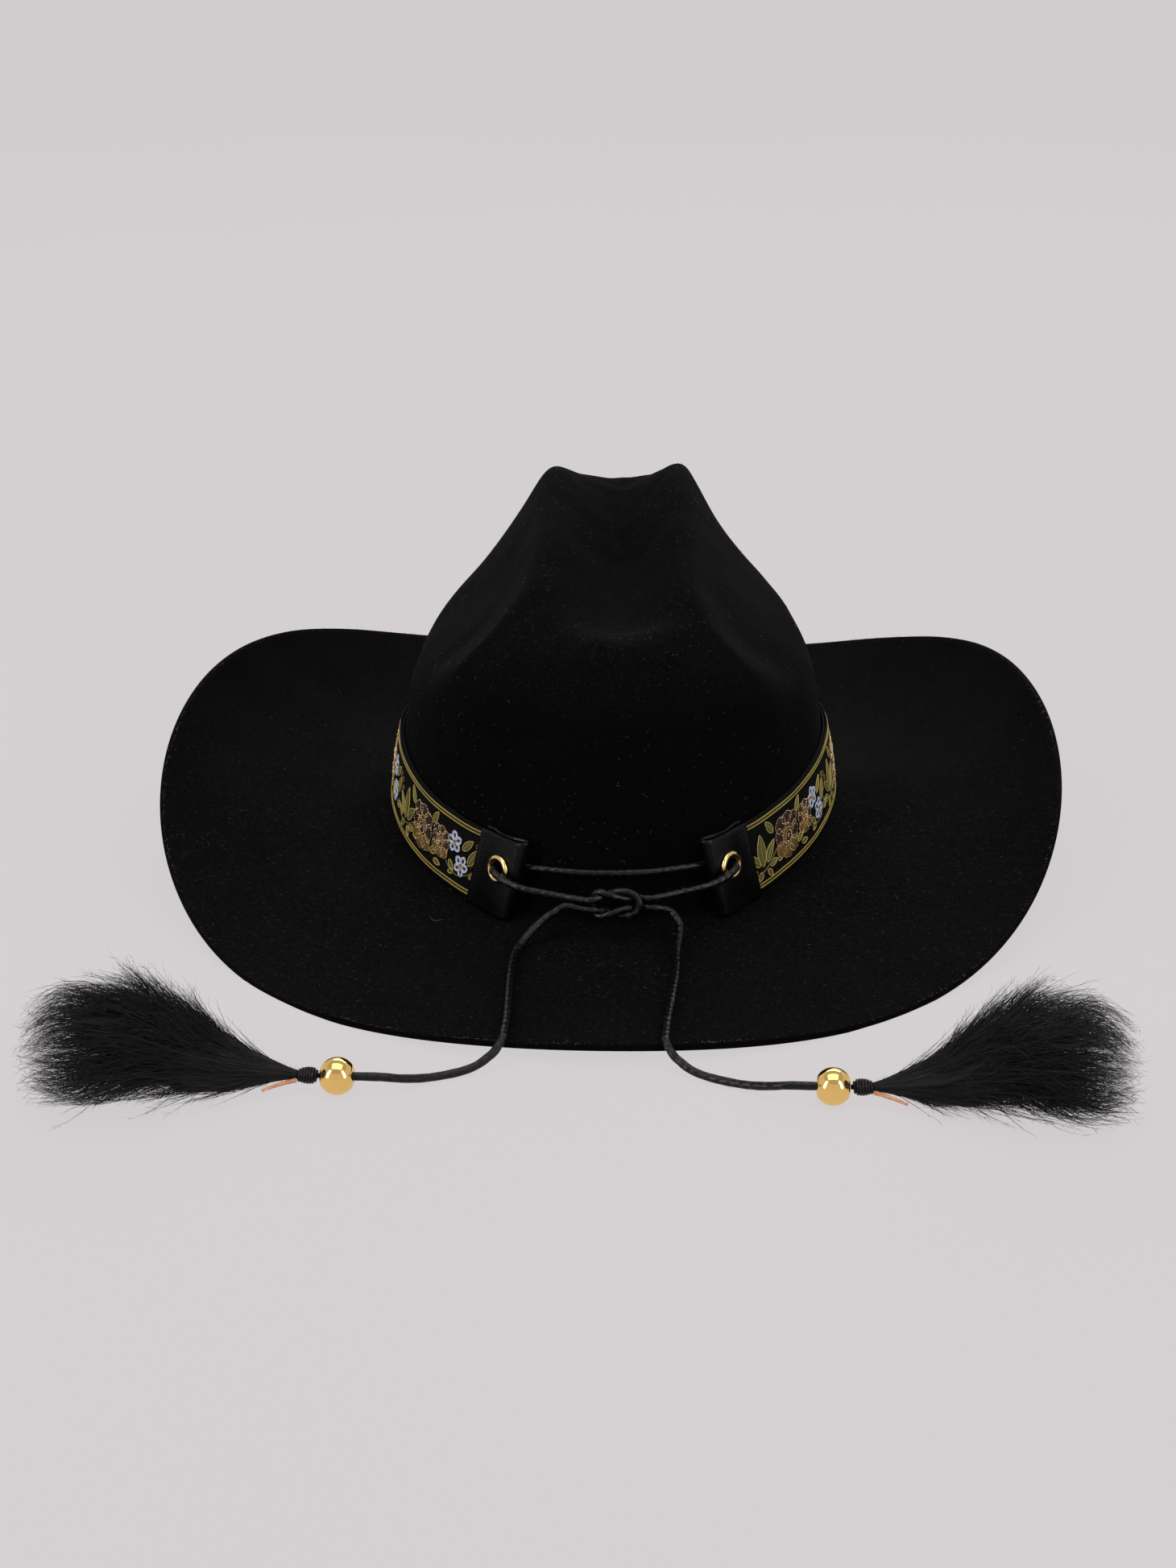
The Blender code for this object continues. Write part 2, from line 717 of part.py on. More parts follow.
def drape_path(side):
    """Line of the cord from the knot down to the brim and back to its edge."""
    info = SIDES[side]
    s = info["s"]
    lift = CORD_R + 0.45
    drop = 1.0 if s < 0 else 2.6
    pts = [wall(s * 11.8, KNOT_H - drop, KNOT_N + 1.0),
           wall(s * 17.5, KNOT_H - 1.6 - drop * 1.6, KNOT_N + 2.0)]
    edge = info["edge_x"]
    for share, x in ((0.21, edge + s * (0.6 + drop * 0.6) - s * 2.6), (0.34, edge + s * 1.6),
                     (0.50, edge + s * 1.8), (0.70, edge + s * 0.8), (0.85, edge),
                     (0.985, edge - s * 0.2)):
        p, n = brim_at(x, share)
        pts.append(p + n * lift)
    return pts


def build_drape(side, mats):
    verts, faces = tube(spline(drape_path(side), 28), CORD_R)
    add_mesh("cord_drape_" + side, verts, faces, mats["cord"], (0.0, 0.0, BASE_Z))


def swing_point(side):
    """Where the hanging tail leaves the brim."""
    pts = drape_path(side)
    d = (pts[-1] - pts[-2]).normalized()
    return pts[-1] + d * (2 * CORD_R + PIECE_GAP)


def tail_path(side):
    info = SIDES[side]
    s = info["s"]
    bx, by = info["bead"]
    start = swing_point(side)
    inner = bx - s * BEAD_TRAVEL_CORD
    pts = [start]
    for along, back, z in TAIL_BEND:
        x = start.x + (inner - start.x) * along
        y = start.y + (by - start.y) * back
        pts.append(Vector((x, y, z)))
    pts.append(Vector((inner, by, BEAD_R)))
    end = bx + s * (BEAD_HALF - 0.9)
    pts.append(Vector((inner + (end - inner) * 0.5, by, BEAD_R)))
    bent = [p for p in spline(pts, 26) if s * (inner - p.x) > 0.0]
    straight = [Vector((inner + (end - inner) * k / 4, by, BEAD_R)) for k in range(5)]
    return bent + straight


def build_tail(side, mats):
    path = tail_path(side)
    verts, faces = tube(path, CORD_R)
    add_mesh("cord_tail_" + side, verts, faces, mats["cord"], swing_point(side))

    info = SIDES[side]
    bx, by = info["bead"]
    profile = [(-BEAD_HALF, BEAD_BORE)]
    for k in range(9):
        x = -BEAD_HALF + 2 * BEAD_HALF * k / 8
        profile.append((x, BEAD_R * (1.0 - (abs(x) / BEAD_HALF) ** 2.6 * 0.42)))
    profile.append((BEAD_HALF, BEAD_BORE))
    centre = (bx, by, BEAD_R)
    verts, faces = lathe(profile, centre, (1.0, 0.0, 0.0), (0.0, 0.0, 1.0), 24)
    add_mesh("bead_" + side, verts, faces, mats["gold"], centre)


def tassel_pivot(side):
    info = SIDES[side]
    bx, by = info["bead"]
    return Vector((bx + info["s"] * (BEAD_HALF + 0.45 + NECK_R), by, BEAD_R))


def build_tassel(side, mats):
    info = SIDES[side]
    s = info["s"]
    pivot = tassel_pivot(side)
    sides = 14
    profile = [(-0.98, 0.25), (-0.8, 0.62), (-0.4, 0.92), (0.0, 1.0), (1.0, 1.15), (2.3, 1.0),
               (3.0, 0.7)]
    rings = []
    for x, r in profile:
        rings.append([pivot + Vector((s * x * NECK_R, r * NECK_R * math.cos(a),
                                      r * NECK_R * math.sin(a)))
                      for a in [2 * math.pi * k / 12 for k in range(12)]])
    verts, faces = loft(rings)
    add_mesh("tassel_binding_" + side, verts, faces, mats["cord"], pivot)

    start = pivot.x + s * (3.0 * NECK_R + PIECE_GAP)
    length = abs(info["tip"] - start)
    rings = []
    steps = 16
    for k in range(steps + 1):
        q = k / steps
        x = start + s * length * q
        grow = smooth(q / 0.72) ** 0.95
        fall = (1.0 - clamp01((q - 0.70) / 0.30) ** 2.4 * 0.80)
        r = 1.6 + (PLUME_R - 1.6) * grow * fall
        floor = 0.35 + 4.3 * (1.0 - smooth(q / 0.30))
        cz = floor + r
        cy = pivot.y + (info["plume_y"] - pivot.y) * smooth(q / 0.8)
        rings.append([Vector((x, cy + r * math.cos(a), cz + r * math.sin(a)))
                      for a in [2 * math.pi * j / sides for j in range(sides)]])
    verts, faces = loft(rings)
    add_mesh("feather_plume_" + side, verts, faces, mats["feather"], pivot)

    path = []
    for k in range(5):
        q = k / 4
        path.append(Vector((start + s * (1.6 + 10.5 * q), pivot.y - 0.8 - 3.6 * q,
                            3.0 - 1.45 * q)))
    verts, faces = tube(path, QUILL_R, sides=8)
    add_mesh("feather_quill_" + side, verts, faces, mats["quill"], pivot)


def clear_scene():
    for obj in list(bpy.data.objects):
        bpy.data.objects.remove(obj, do_unlink=True)


def main():
    clear_scene()
    mats = {
        "felt": material("black_felt", (0.010, 0.010, 0.011), 0.95),
        "leather": material("black_leather", (0.016, 0.015, 0.016), 0.45),
        "satin": material("black_satin", (0.03, 0.03, 0.034), 0.35),
        "grosgrain": material("black_grosgrain", (0.014, 0.014, 0.015), 0.8),
        "ribbon": material("woven_ribbon", (0.10, 0.085, 0.03), 0.7),
        "brass": material("polished_brass", (0.80, 0.56, 0.20), 0.2, 1.0),
        "gold": material("gold_bead", (0.86, 0.60, 0.20), 0.15, 1.0),
        "cord": material("waxed_cord", (0.012, 0.012, 0.013), 0.4),
        "feather": material("black_feather", (0.012, 0.013, 0.014), 0.8),
        "quill": material("tan_quill", (0.55, 0.26, 0.12), 0.5),
    }
    build_felt(mats)
    build_sweatband(mats)
    build_band(mats)
    build_lace(mats)
    for side in ("left", "right"):
        build_tab(side, mats)
        build_eyelet(side, mats)
        build_drape(side, mats)
        build_tail(side, mats)
        build_tassel(side, mats)


main()
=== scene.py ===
"""Looks for the western felt hat: felt, embroidered band, leather, cord, beads and tassels.

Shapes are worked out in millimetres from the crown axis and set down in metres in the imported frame.
"""

from math import atan2, copysign, cos, hypot, pi, radians, sin, sqrt

import bmesh
import bpy
import numpy as np
from mathutils import Matrix, Vector


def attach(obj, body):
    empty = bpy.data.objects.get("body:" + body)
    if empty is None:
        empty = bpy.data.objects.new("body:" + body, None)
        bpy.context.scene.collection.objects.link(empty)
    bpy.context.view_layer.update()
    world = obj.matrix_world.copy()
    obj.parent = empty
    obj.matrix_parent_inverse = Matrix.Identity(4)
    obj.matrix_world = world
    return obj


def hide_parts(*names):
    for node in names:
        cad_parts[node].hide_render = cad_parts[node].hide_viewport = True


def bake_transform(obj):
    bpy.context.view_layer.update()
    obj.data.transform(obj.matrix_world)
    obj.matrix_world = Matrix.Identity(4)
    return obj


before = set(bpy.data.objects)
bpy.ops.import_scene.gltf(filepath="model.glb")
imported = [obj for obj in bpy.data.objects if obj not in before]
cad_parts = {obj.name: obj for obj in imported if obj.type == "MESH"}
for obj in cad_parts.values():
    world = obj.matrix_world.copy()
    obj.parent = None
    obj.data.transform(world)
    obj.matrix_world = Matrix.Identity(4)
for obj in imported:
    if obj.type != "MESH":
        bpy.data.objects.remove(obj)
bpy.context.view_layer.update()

MM = 0.001
CROWN_Y = 23.27
TIE_AZIMUTH = -86.1
CROWN_TWIST = 3.6

FELT = 2.5
BASE_A = 87.5
BASE_B = 105.0
BASE_Z = 5.95
BASE_SIDE_RISE = 10.96
BASE_QUARTER_SAG = 3.31
BRIM_WIDTH = 95.1
BRIM_SIDE_LOSS = 2.48
BRIM_CURVE_POWER = 1.3
BRIM_FRONT_DROOP = 3.1
WALL_TAPER = 0.05 / 28.0
CAP_SIDE_Z = 60.0          # where the wall starts to round over at the sides
CAP_BACK_Z = 74.0
CAP_FRONT_Z = 92.0
TOP_HEIGHTS = [(-97.0, 110.0), (-75.0, 117.5), (-48.0, 121.0), (-25.0, 125.0), (0.0, 132.5),
               (30.0, 139.5), (60.0, 146.5), (78.0, 148.5), (97.0, 148.0)]
RIDGE_HALF = 23.0          # half distance between the two top ridges
BOWL_HALF = 27.0           # half width of the long crease between them
BOWL_BACK = -46.0          # the crease rounds off behind this
BOWL_FLOOR = [(-97.0, 99.0), (-70.0, 98.0), (-45.0, 99.0), (-20.0, 102.0), (10.0, 106.5),
              (40.0, 115.0), (62.0, 121.5), (76.0, 124.0), (97.0, 118.0)]
FOLD_X = 52.0              # each side dent ends at the back in an oval fold about this point
FOLD_Y = -5.0
FOLD_REACH_X = 27.0
FOLD_REACH_Y = 51.0
FOLD_WIDTH = 20.0          # over which the dent reaches its full depth
CREASE_SHIFT = 2.0
CENTRE_END = 70.0          # half length of the line the crown closes on
FELT_SMOOTHING = 12
STATIONS = 240
BRIM_STEPS = 40
CROWN_STEPS = 92

BAND_LOW = 1.4
BAND_WIDTH = 27.5
BAND_GAP = 0.5
BACKING_THICK = 0.6
RIBBON_THICK = 0.7
BAND_END = 50.5
PIECE_GAP = 0.4
TAB_HEIGHT = 29.5
TAB_LOW = 0.4
TAB_THICK = 1.0
TAB_SLANT = 5.0
TAB_STITCHES = 13
EYELET_U = 41.2
EYELET_H = 18.0
EYELET_OUTER = 5.4
EYELET_BORE = 3.1
WASHER_OUTER = 4.9
CORD_R = 1.4
KNOT_H = 12.6
KNOT_N = 13.0
BEAD_R = 6.2
BEAD_HALF = 5.35
BEAD_BORE = 1.75
BEAD_TRAVEL_CORD = 14.0
NECK_R = 2.0
PLUME_R = 21.0
SWEAT_DEPTH = 3.6
SWEAT_THICK = 0.9
SWEAT_HEIGHT = 40.0
RIM_CENTRE = (0.0, 0.0, 4.0)   # the rounded brim edge swells away from this point
RIM_BULGE = 0.85
SWEAT_STITCHES = 190
LINT_COUNT = 2600
LINT_ON_EDGE = 900
PLUME_BARBS = 3300
BARB_STEPS = 6
SIDE_HAIRS = 7
WRAPS = 7                      # turns of cord about the neck of a tassel

TAIL_BEND = [(0.04, 0.11, 6.9), (0.10, 0.26, 4.2), (0.19, 0.37, 2.2), (0.34, 0.47, 1.6),
             (0.52, 0.60, 1.6), (0.70, 0.76, 2.3), (0.87, 0.93, 4.9)]
SIDES = {
    "left": {"s": -1.0, "bead": (-78.4, -223.1), "edge_x": -26.6, "tip": -178.2,
             "plume_y": -232.0},
    "right": {"s": 1.0, "bead": (82.5, -222.3), "edge_x": 27.8, "tip": 178.2,
              "plume_y": -227.0},
}
TAB_LINE = [(53.5, 4.40), (50.5, 4.45), (47.5, 5.10), (44.2, 6.10), (41.2, 6.95), (38.2, 7.80),
            (35.6, 8.35), (33.9, 7.70), (33.3, 6.30), (33.9, 5.00), (35.8, 4.55), (40.0, 4.45),
            (44.0, 3.90), (47.5, 2.45), (50.5, 1.10), (53.5, 1.00)]


# ---------------------------------------------------------------- curves and surfaces

def clamp01(v):
    return max(0.0, min(1.0, v))


def smooth(v):
    v = clamp01(v)
    return v * v * (3.0 - 2.0 * v)


def even_line(points, count):
    """Points evenly spaced along a polyline."""
    run = [0.0]
    for p, q in zip(points, points[1:]):
        run.append(run[-1] + (q - p).length)
    out = []
    k = 0
    for i in range(count):
        want = run[-1] * i / (count - 1)
        while k < len(run) - 2 and run[k + 1] < want:
            k += 1
        share = (want - run[k]) / max(run[k + 1] - run[k], 1e-9)
        out.append(points[k].lerp(points[k + 1], clamp01(share)))
    return out


def spline(points, count):
    """Points evenly spread along a smooth curve through the given ones."""
    pts = [Vector(p) for p in points]
    pts = [pts[0] * 2 - pts[1]] + pts + [pts[-1] * 2 - pts[-2]]
    fine = []
    for k in range(1, len(pts) - 2):
        a, b, c, d = pts[k - 1:k + 3]
        for j in range(16):
            x = j / 16.0
            fine.append(0.5 * ((2 * b) + (c - a) * x + (2 * a - 5 * b + 4 * c - d) * x * x
                               + (3 * b - a - 3 * c + d) * x ** 3))
    fine.append(pts[-2].copy())
    return even_line(fine, count)


def base_z(t):
    c2 = cos(t) ** 2
    return BASE_Z + BASE_SIDE_RISE * c2 - BASE_QUARTER_SAG * sin(2 * t) ** 2


def oval_normal(t):
    return Vector((cos(t) / BASE_A, sin(t) / BASE_B, 0.0)).normalized()


def brim_angle(t, s):
    c = cos(t)
    c2 = c * c
    s1 = sin(t)
    start = -2.72 - 10.51 * c2 + 14.77 * c2 * c2 - 2.08 * s1 + 2.04 * s1 * c2
    curl = 7.17 + 48.6 * c2 - 10.7 * c2 * c2 + 3.73 * s1 + 66.49 * s1 * c2
    curl += 1.26 * c * c2
    return start + curl * s ** BRIM_CURVE_POWER


def brim_point(t, s):
    width = BRIM_WIDTH - BRIM_SIDE_LOSS * cos(t) ** 2 + 0.19 * sin(t)
    steps = 24
    reach = 0.0
    rise = 0.0
    part = width * s / steps
    for k in range(steps):
        slope = radians(brim_angle(t, s * (k + 0.5) / steps))
        reach += part * cos(slope)
        rise += part * sin(slope)
    rise -= BRIM_FRONT_DROOP * s * s * max(0.0, sin(t)) ** 4
    p = Vector((BASE_A * cos(t), BASE_B * sin(t), base_z(t) + rise))
    return p + oval_normal(t) * reach


def wall_scale(h):
    return 1.0 - WALL_TAPER * h


def on_wall(t, h):
    """Point of the crown wall at an angle and a height above the brim break."""
    k = wall_scale(h)
    return Vector((BASE_A * k * cos(t), BASE_B * k * sin(t), base_z(t) + h))


def along_list(points, x):
    """Reading of a short list of (place, value) pairs."""
    for (x0, v0), (x1, v1) in zip(points, points[1:]):
        if x <= x1:
            return v0 + (v1 - v0) * clamp01((x - x0) / (x1 - x0))
    return points[-1][1]


def fold_share(x, y):
    """0 behind the fold that ends a side dent, rising to 1 inside the dent."""
    u = hypot(min(0.0, abs(x) - FOLD_X) / FOLD_REACH_X, min(0.0, y - FOLD_Y) / FOLD_REACH_Y)
    return 1.0 - (1.0 - clamp01((1.0 - u) * 36.0 / FOLD_WIDTH)) ** 2


def crown_height(x, y, rho, a, b, cap_z, rear):
    """Height of the crown top at a plan point; rho is 1 on the crown wall."""
    front = 2.0 + 2.0 * smooth((y + 10.0) / 65.0)
    round_x = (x / a) ** 2
    round_y = abs(y / b) ** (2.0 if y < 0 else front)
    top = along_list(TOP_HEIGHTS, y)
    full = 1.0 - (round_x + round_y) if y > 0 else 1.0 - rho ** 2
    z = cap_z + (top - cap_z) * sqrt(max(0.0, full))
    ridge_rho = min(0.97, hypot(RIDGE_HALF / a, y / b))
    share = clamp01((1.0 - rho) / (1.0 - ridge_rho))
    ridge_full = 1.0 - (RIDGE_HALF / a) ** 2 - round_y if y > 0 else 1.0 - ridge_rho ** 2
    ridge = cap_z + (top - cap_z) * sqrt(max(0.0, ridge_full))
    slope = 0.22 * min(1.0, share / 0.12) ** 0.5 + 0.78 * share ** 1.4
    dented = min(z, cap_z + (ridge - cap_z) * slope)
    ahead = 1.0 - 0.8 * smooth((y - 66.0) / 30.0)
    z += (dented - z) * rear * ahead
    over = min(0.0, y - BOWL_BACK)
    u = hypot(x, over) / BOWL_HALF
    bowl = max(0.0, 1.0 - u * u) ** 1.45
    return z - max(0.0, z - along_list(BOWL_FLOOR, y)) * bowl


def crown_profile(t, count):
    """Outer felt line from the brim break up to the middle of the top crease."""
    c = cos(t)
    s = sin(t)
    end = CAP_FRONT_Z if s > 0 else CAP_BACK_Z
    cap_z = CAP_SIDE_Z + (end - CAP_SIDE_Z) * abs(s) ** 1.8
    rise = cap_z - base_z(t)
    pts = [on_wall(t, rise * k / 12) for k in range(12)]
    a = BASE_A * wall_scale(rise)
    b = BASE_B * wall_scale(rise)
    centre_y = CENTRE_END * copysign(abs(s) ** 0.80, s)
    turn = radians(CROWN_TWIST)
    for k in range(41):
        e = 0.968 * (k / 40) ** 1.8
        x = a * c * (1.0 - e)
        y = b * s + (centre_y - b * s) * e
        rho = min(1.0, hypot(x / a, y / b))
        tx = (x - CREASE_SHIFT) * cos(turn) + y * sin(turn)
        ty = y * cos(turn) - (x - CREASE_SHIFT) * sin(turn)
        z = crown_height(tx, ty, rho, a, b, cap_z, fold_share(x, y))
        pts.append(Vector((x, y, z)))
    pts = even_line(pts, 120)
    for _ in range(FELT_SMOOTHING):
        pts = [pts[0]] + [(pts[i - 1] + pts[i] * 2 + pts[i + 1]) / 4
                          for i in range(1, len(pts) - 1)] + [pts[-1]]
    return even_line(pts, count)


def arc_table():
    """Arc length round the middle of the band, from the knot, against the crown angle."""
    table = [(0.0, radians(TIE_AZIMUTH))]
    step = radians(0.5)
    t = table[0][1]
    run = 0.0
    for _ in range(720):
        a = t + step / 2
        k = wall_scale(BAND_LOW + BAND_WIDTH / 2)
        run += step * hypot(BASE_A * k * sin(a), BASE_B * k * cos(a))
        t += step
        table.append((run, t))
    return np.array(table)


ARC = arc_table()
ROUND = float(ARC[-1, 0])


def wall(u, h, n):
    """Point u along the crown from the knot, h above the brim break, n outside the felt."""
    t = float(np.interp(u % ROUND, ARC[:, 0], ARC[:, 1]))
    return on_wall(t, h) + oval_normal(t) * n


def wall_frame(u, h, n):
    o = wall(u, h, n)
    along = (wall(u + 0.5, h, n) - wall(u - 0.5, h, n)).normalized()
    up = wall(u, h + 0.5, n) - wall(u, h - 0.5, n)
    up = (up - along * up.dot(along)).normalized()
    return o, along, up, along.cross(up)


def brim_at(x, s):
    """Point and upward normal of the rear brim at a sideways place and a share of its width."""
    lo = radians(-150.0)
    hi = radians(-30.0)
    for _ in range(30):
        mid = (lo + hi) / 2
        if brim_point(mid, s).x < x:
            lo = mid
        else:
            hi = mid
    t = (lo + hi) / 2
    p = brim_point(t, s)
    du = brim_point(t + 0.02, s) - brim_point(t - 0.02, s)
    ds = brim_point(t, s) - brim_point(t, s - 0.02)
    n = ds.cross(du).normalized()
    return p, (n if n.z > 0 else -n)


# ---------------------------------------------------------------- mesh building

def circle(count):
    """Angles evenly round a turn."""
    return [2 * pi * k / count for k in range(count)]


def shares(count):
    """Numbers evenly spaced from 0 to 1."""
    return [k / (count - 1) for k in range(count)]


class Pile:
    """Vertices, faces and uv of several closed forms gathered for one piece."""

    def __init__(self):
        self.verts, self.faces, self.uvs = [], [], []

    def add(self, verts, faces, uvs=()):
        base = len(self.verts)
        self.verts.extend(verts)
        self.uvs.extend(uvs)
        self.faces.extend(tuple(base + m for m in f) for f in faces)


def make(name, verts, faces, mat, body=None, uv=None, stands_for=()):
    """Piece made of closed forms that face out, from millimetres about the crown axis."""
    mesh = bpy.data.meshes.new(name)
    v = np.asarray([tuple(p) for p in verts], float)
    v[:, 1] += CROWN_Y
    mesh.from_pydata((v * MM).tolist(), [], faces)
    mesh.validate()
    if uv:
        layer = mesh.uv_layers.new(name="UVMap")
        idx = np.zeros(len(mesh.loops), np.int32)
        mesh.loops.foreach_get("vertex_index", idx)
        layer.data.foreach_set("uv", np.asarray(uv, np.float32)[idx].ravel())
    mesh.polygons.foreach_set("use_smooth", [True] * len(mesh.polygons))
    mesh.materials.append(MAT[mat])
    face_out(mesh)
    obj = bpy.data.objects.new(name, mesh)
    bpy.context.scene.collection.objects.link(obj)
    if body:
        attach(obj, body)
    if stands_for:
        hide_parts(*stands_for)
    return obj


def face_out(mesh):
    bm = bmesh.new()
    bm.from_mesh(mesh)
    bmesh.ops.recalc_face_normals(bm, faces=bm.faces)
    bm.to_mesh(mesh)
    bm.free()


def grid_faces(rows, cols, wrap_rows=False, wrap_cols=False, offset=0):
    faces = []
    for k in range(rows if wrap_rows else rows - 1):
        a = offset + k * cols
        b = offset + ((k + 1) % rows) * cols
        for i in range(cols if wrap_cols else cols - 1):
            j = (i + 1) % cols
            faces.append((a + i, a + j, b + j, b + i))
    return faces


def tube(path, radius, sides=14, closed=False, flat=0.0, taper=None):
    """Vertices, faces and uv of a round cord along a path; flat squeezes it a little."""
    p = np.array([tuple(q) for q in path], float)
    n = len(p)
    if closed:
        tan = np.roll(p, -1, 0) - np.roll(p, 1, 0)
    else:
        tan = np.gradient(p, axis=0)
    tan /= np.linalg.norm(tan, axis=1)[:, None]
    seed = np.array((0.0, 0.0, 1.0))
    if abs(tan[0] @ seed) > 0.9:
        seed = np.array((0.0, 1.0, 0.0))
    side = np.cross(tan[0], seed)
    run = np.concatenate([[0.0], np.cumsum(np.linalg.norm(np.diff(p, axis=0), axis=1))])
    verts = []
    uv = []
    for k in range(n):
        side = side - tan[k] * (side @ tan[k])
        side /= np.linalg.norm(side)
        up = np.cross(tan[k], side)
        r = radius if taper is None else radius * taper[k]
        for a in circle(sides):
            rr = r * (1.0 - flat * cos(2 * a))
            verts.append(p[k] + side * rr * cos(a) + up * rr * sin(a))
            uv.append((run[k], a * radius))
    faces = grid_faces(n, sides, closed, True)
    if not closed:
        faces.append(tuple(range(sides - 1, -1, -1)))
        faces.append(tuple((n - 1) * sides + i for i in range(sides)))
    return verts, faces, uv


def domed(count, power=0.5):
    """Taper that rounds off both ends of a cord."""
    k = np.arange(count)
    e = np.minimum(k, count - 1 - k) / 3.0
    return np.clip(1.0 - np.clip(1.0 - e, 0, 1) ** 2, 0.0, 1.0) ** power * 0.98 + 0.02


def lathe(profile, centre, axis, up, count=64):
    axis = Vector(axis).normalized()
    u = (Vector(up) - axis * Vector(up).dot(axis)).normalized()
    v = axis.cross(u)
    verts = []
    for a in circle(count):
        d = u * cos(a) + v * sin(a)
        verts += [Vector(centre) + axis * x + d * r for x, r in profile]
    return verts, grid_faces(count, len(profile), True, True)


def shell(points, thick, wrap=False, edge=0.5):
    """Closed sheet of even thickness about a grid of points, with rounded borders."""
    p = np.array([[tuple(q) for q in row] for row in points], float)
    rows, cols = p.shape[:2]
    if wrap:
        du = np.roll(p, -1, 0) - np.roll(p, 1, 0)
    else:
        du = np.gradient(p, axis=0)
    dv = np.gradient(p, axis=1)
    nrm = np.cross(du, dv)
    nrm /= np.maximum(np.linalg.norm(nrm, axis=2), 1e-9)[:, :, None]
    top = p + nrm * thick / 2
    low = p - nrm * thick / 2
    verts = list(top.reshape(-1, 3)) + list(low.reshape(-1, 3))
    size = rows * cols
    faces = grid_faces(rows, cols, wrap)
    faces += [tuple(reversed([size + i for i in f])) for f in grid_faces(rows, cols, wrap)]
    if wrap:
        loops = [[r * cols for r in range(rows)], [r * cols + cols - 1 for r in range(rows)]]
        outs = [-dv[:, 0], dv[:, -1]]
    else:
        loop = [c for c in range(cols)] + [r * cols + cols - 1 for r in range(1, rows)]
        loop += [(rows - 1) * cols + c for c in range(cols - 2, -1, -1)]
        loop += [r * cols for r in range(rows - 2, 0, -1)]
        out = np.zeros_like(p)
        out[0] -= du[0]
        out[-1] += du[-1]
        out[:, 0] -= dv[:, 0]
        out[:, -1] += dv[:, -1]
        loops = [loop]
        outs = [out.reshape(-1, 3)[loop]]
    flat = p.reshape(-1, 3)
    for which, (loop, out) in enumerate(zip(loops, outs)):
        out = out / np.maximum(np.linalg.norm(out, axis=1), 1e-9)[:, None]
        start = len(verts)
        verts += [flat[i] + out[k] * thick * edge for k, i in enumerate(loop)]
        n = len(loop)
        for k in range(n):
            m = (k + 1) % n
            quads = [(loop[k], loop[m], start + m, start + k),
                     (start + k, start + m, size + loop[m], size + loop[k])]
            if wrap and which == 0:
                quads = [tuple(reversed(q)) for q in quads]
            faces += quads
    return verts, faces


# ---------------------------------------------------------------- materials

class Nodes:
    """Short hand for building a Principled material."""

    def __init__(self, name, colour, rough, metal=0.0, shine=0.5):
        self.mat = bpy.data.materials.new(name)
        self.mat.use_nodes = True
        self.tree = self.mat.node_tree
        self.bsdf = self.tree.nodes["Principled BSDF"]
        self.bsdf.inputs["Base Color"].default_value = (*colour, 1.0)
        self.bsdf.inputs["Roughness"].default_value = rough
        self.bsdf.inputs["Metallic"].default_value = metal
        self.bsdf.inputs["Specular IOR Level"].default_value = shine
        self.mat.diffuse_color = (*colour, 1.0)
        self.normal = None

    def add(self, kind, **settings):
        node = self.tree.nodes.new(kind)
        for key, value in settings.items():
            if key in node.inputs:
                node.inputs[key].default_value = value
            else:
                setattr(node, key, value)
        return node

    def link(self, a, out, b, inp):
        self.tree.links.new(a.outputs[out], b.inputs[inp])

    def coord(self, kind="Object", scale=(1.0, 1.0, 1.0), turn=0.0):
        c = self.add("ShaderNodeTexCoord")
        m = self.add("ShaderNodeMapping", Scale=scale, Rotation=(0.0, 0.0, turn))
        self.link(c, kind, m, "Vector")
        return m

    def noise(self, scale, detail=4.0, rough=0.5, source=None):
        n = self.add("ShaderNodeTexNoise", Scale=scale, Detail=detail, Roughness=rough)
        self.link(source or self.coord(), "Vector", n, "Vector")
        return n

    def wave(self, source, **settings):
        n = self.add("ShaderNodeTexWave", **settings)
        self.link(source, "Vector", n, "Vector")
        return n

    def bump(self, node, out, strength, distance):
        b = self.add("ShaderNodeBump", Strength=strength, Distance=distance)
        self.link(node, out, b, "Height")
        if self.normal:
            self.link(self.normal, "Normal", b, "Normal")
        self.normal = b
        self.link(b, "Normal", self.bsdf, "Normal")
        return b

    def ramp(self, node, out, stops, target):
        r = self.add("ShaderNodeValToRGB")
        els = r.color_ramp.elements
        while len(els) < len(stops):
            els.new(0.5)
        for el, (pos, col) in zip(els, stops):
            el.position = pos
            el.color = (*col, 1.0) if len(col) == 3 else (col[0],) * 3 + (1.0,)
        self.link(node, out, r, "Fac")
        self.link(r, "Color", self.bsdf, target)
        return r

    def sheen(self, weight, rough, tint=(1.0, 1.0, 1.0)):
        self.bsdf.inputs["Sheen Weight"].default_value = weight
        self.bsdf.inputs["Sheen Roughness"].default_value = rough
        self.bsdf.inputs["Sheen Tint"].default_value = (*tint, 1.0)


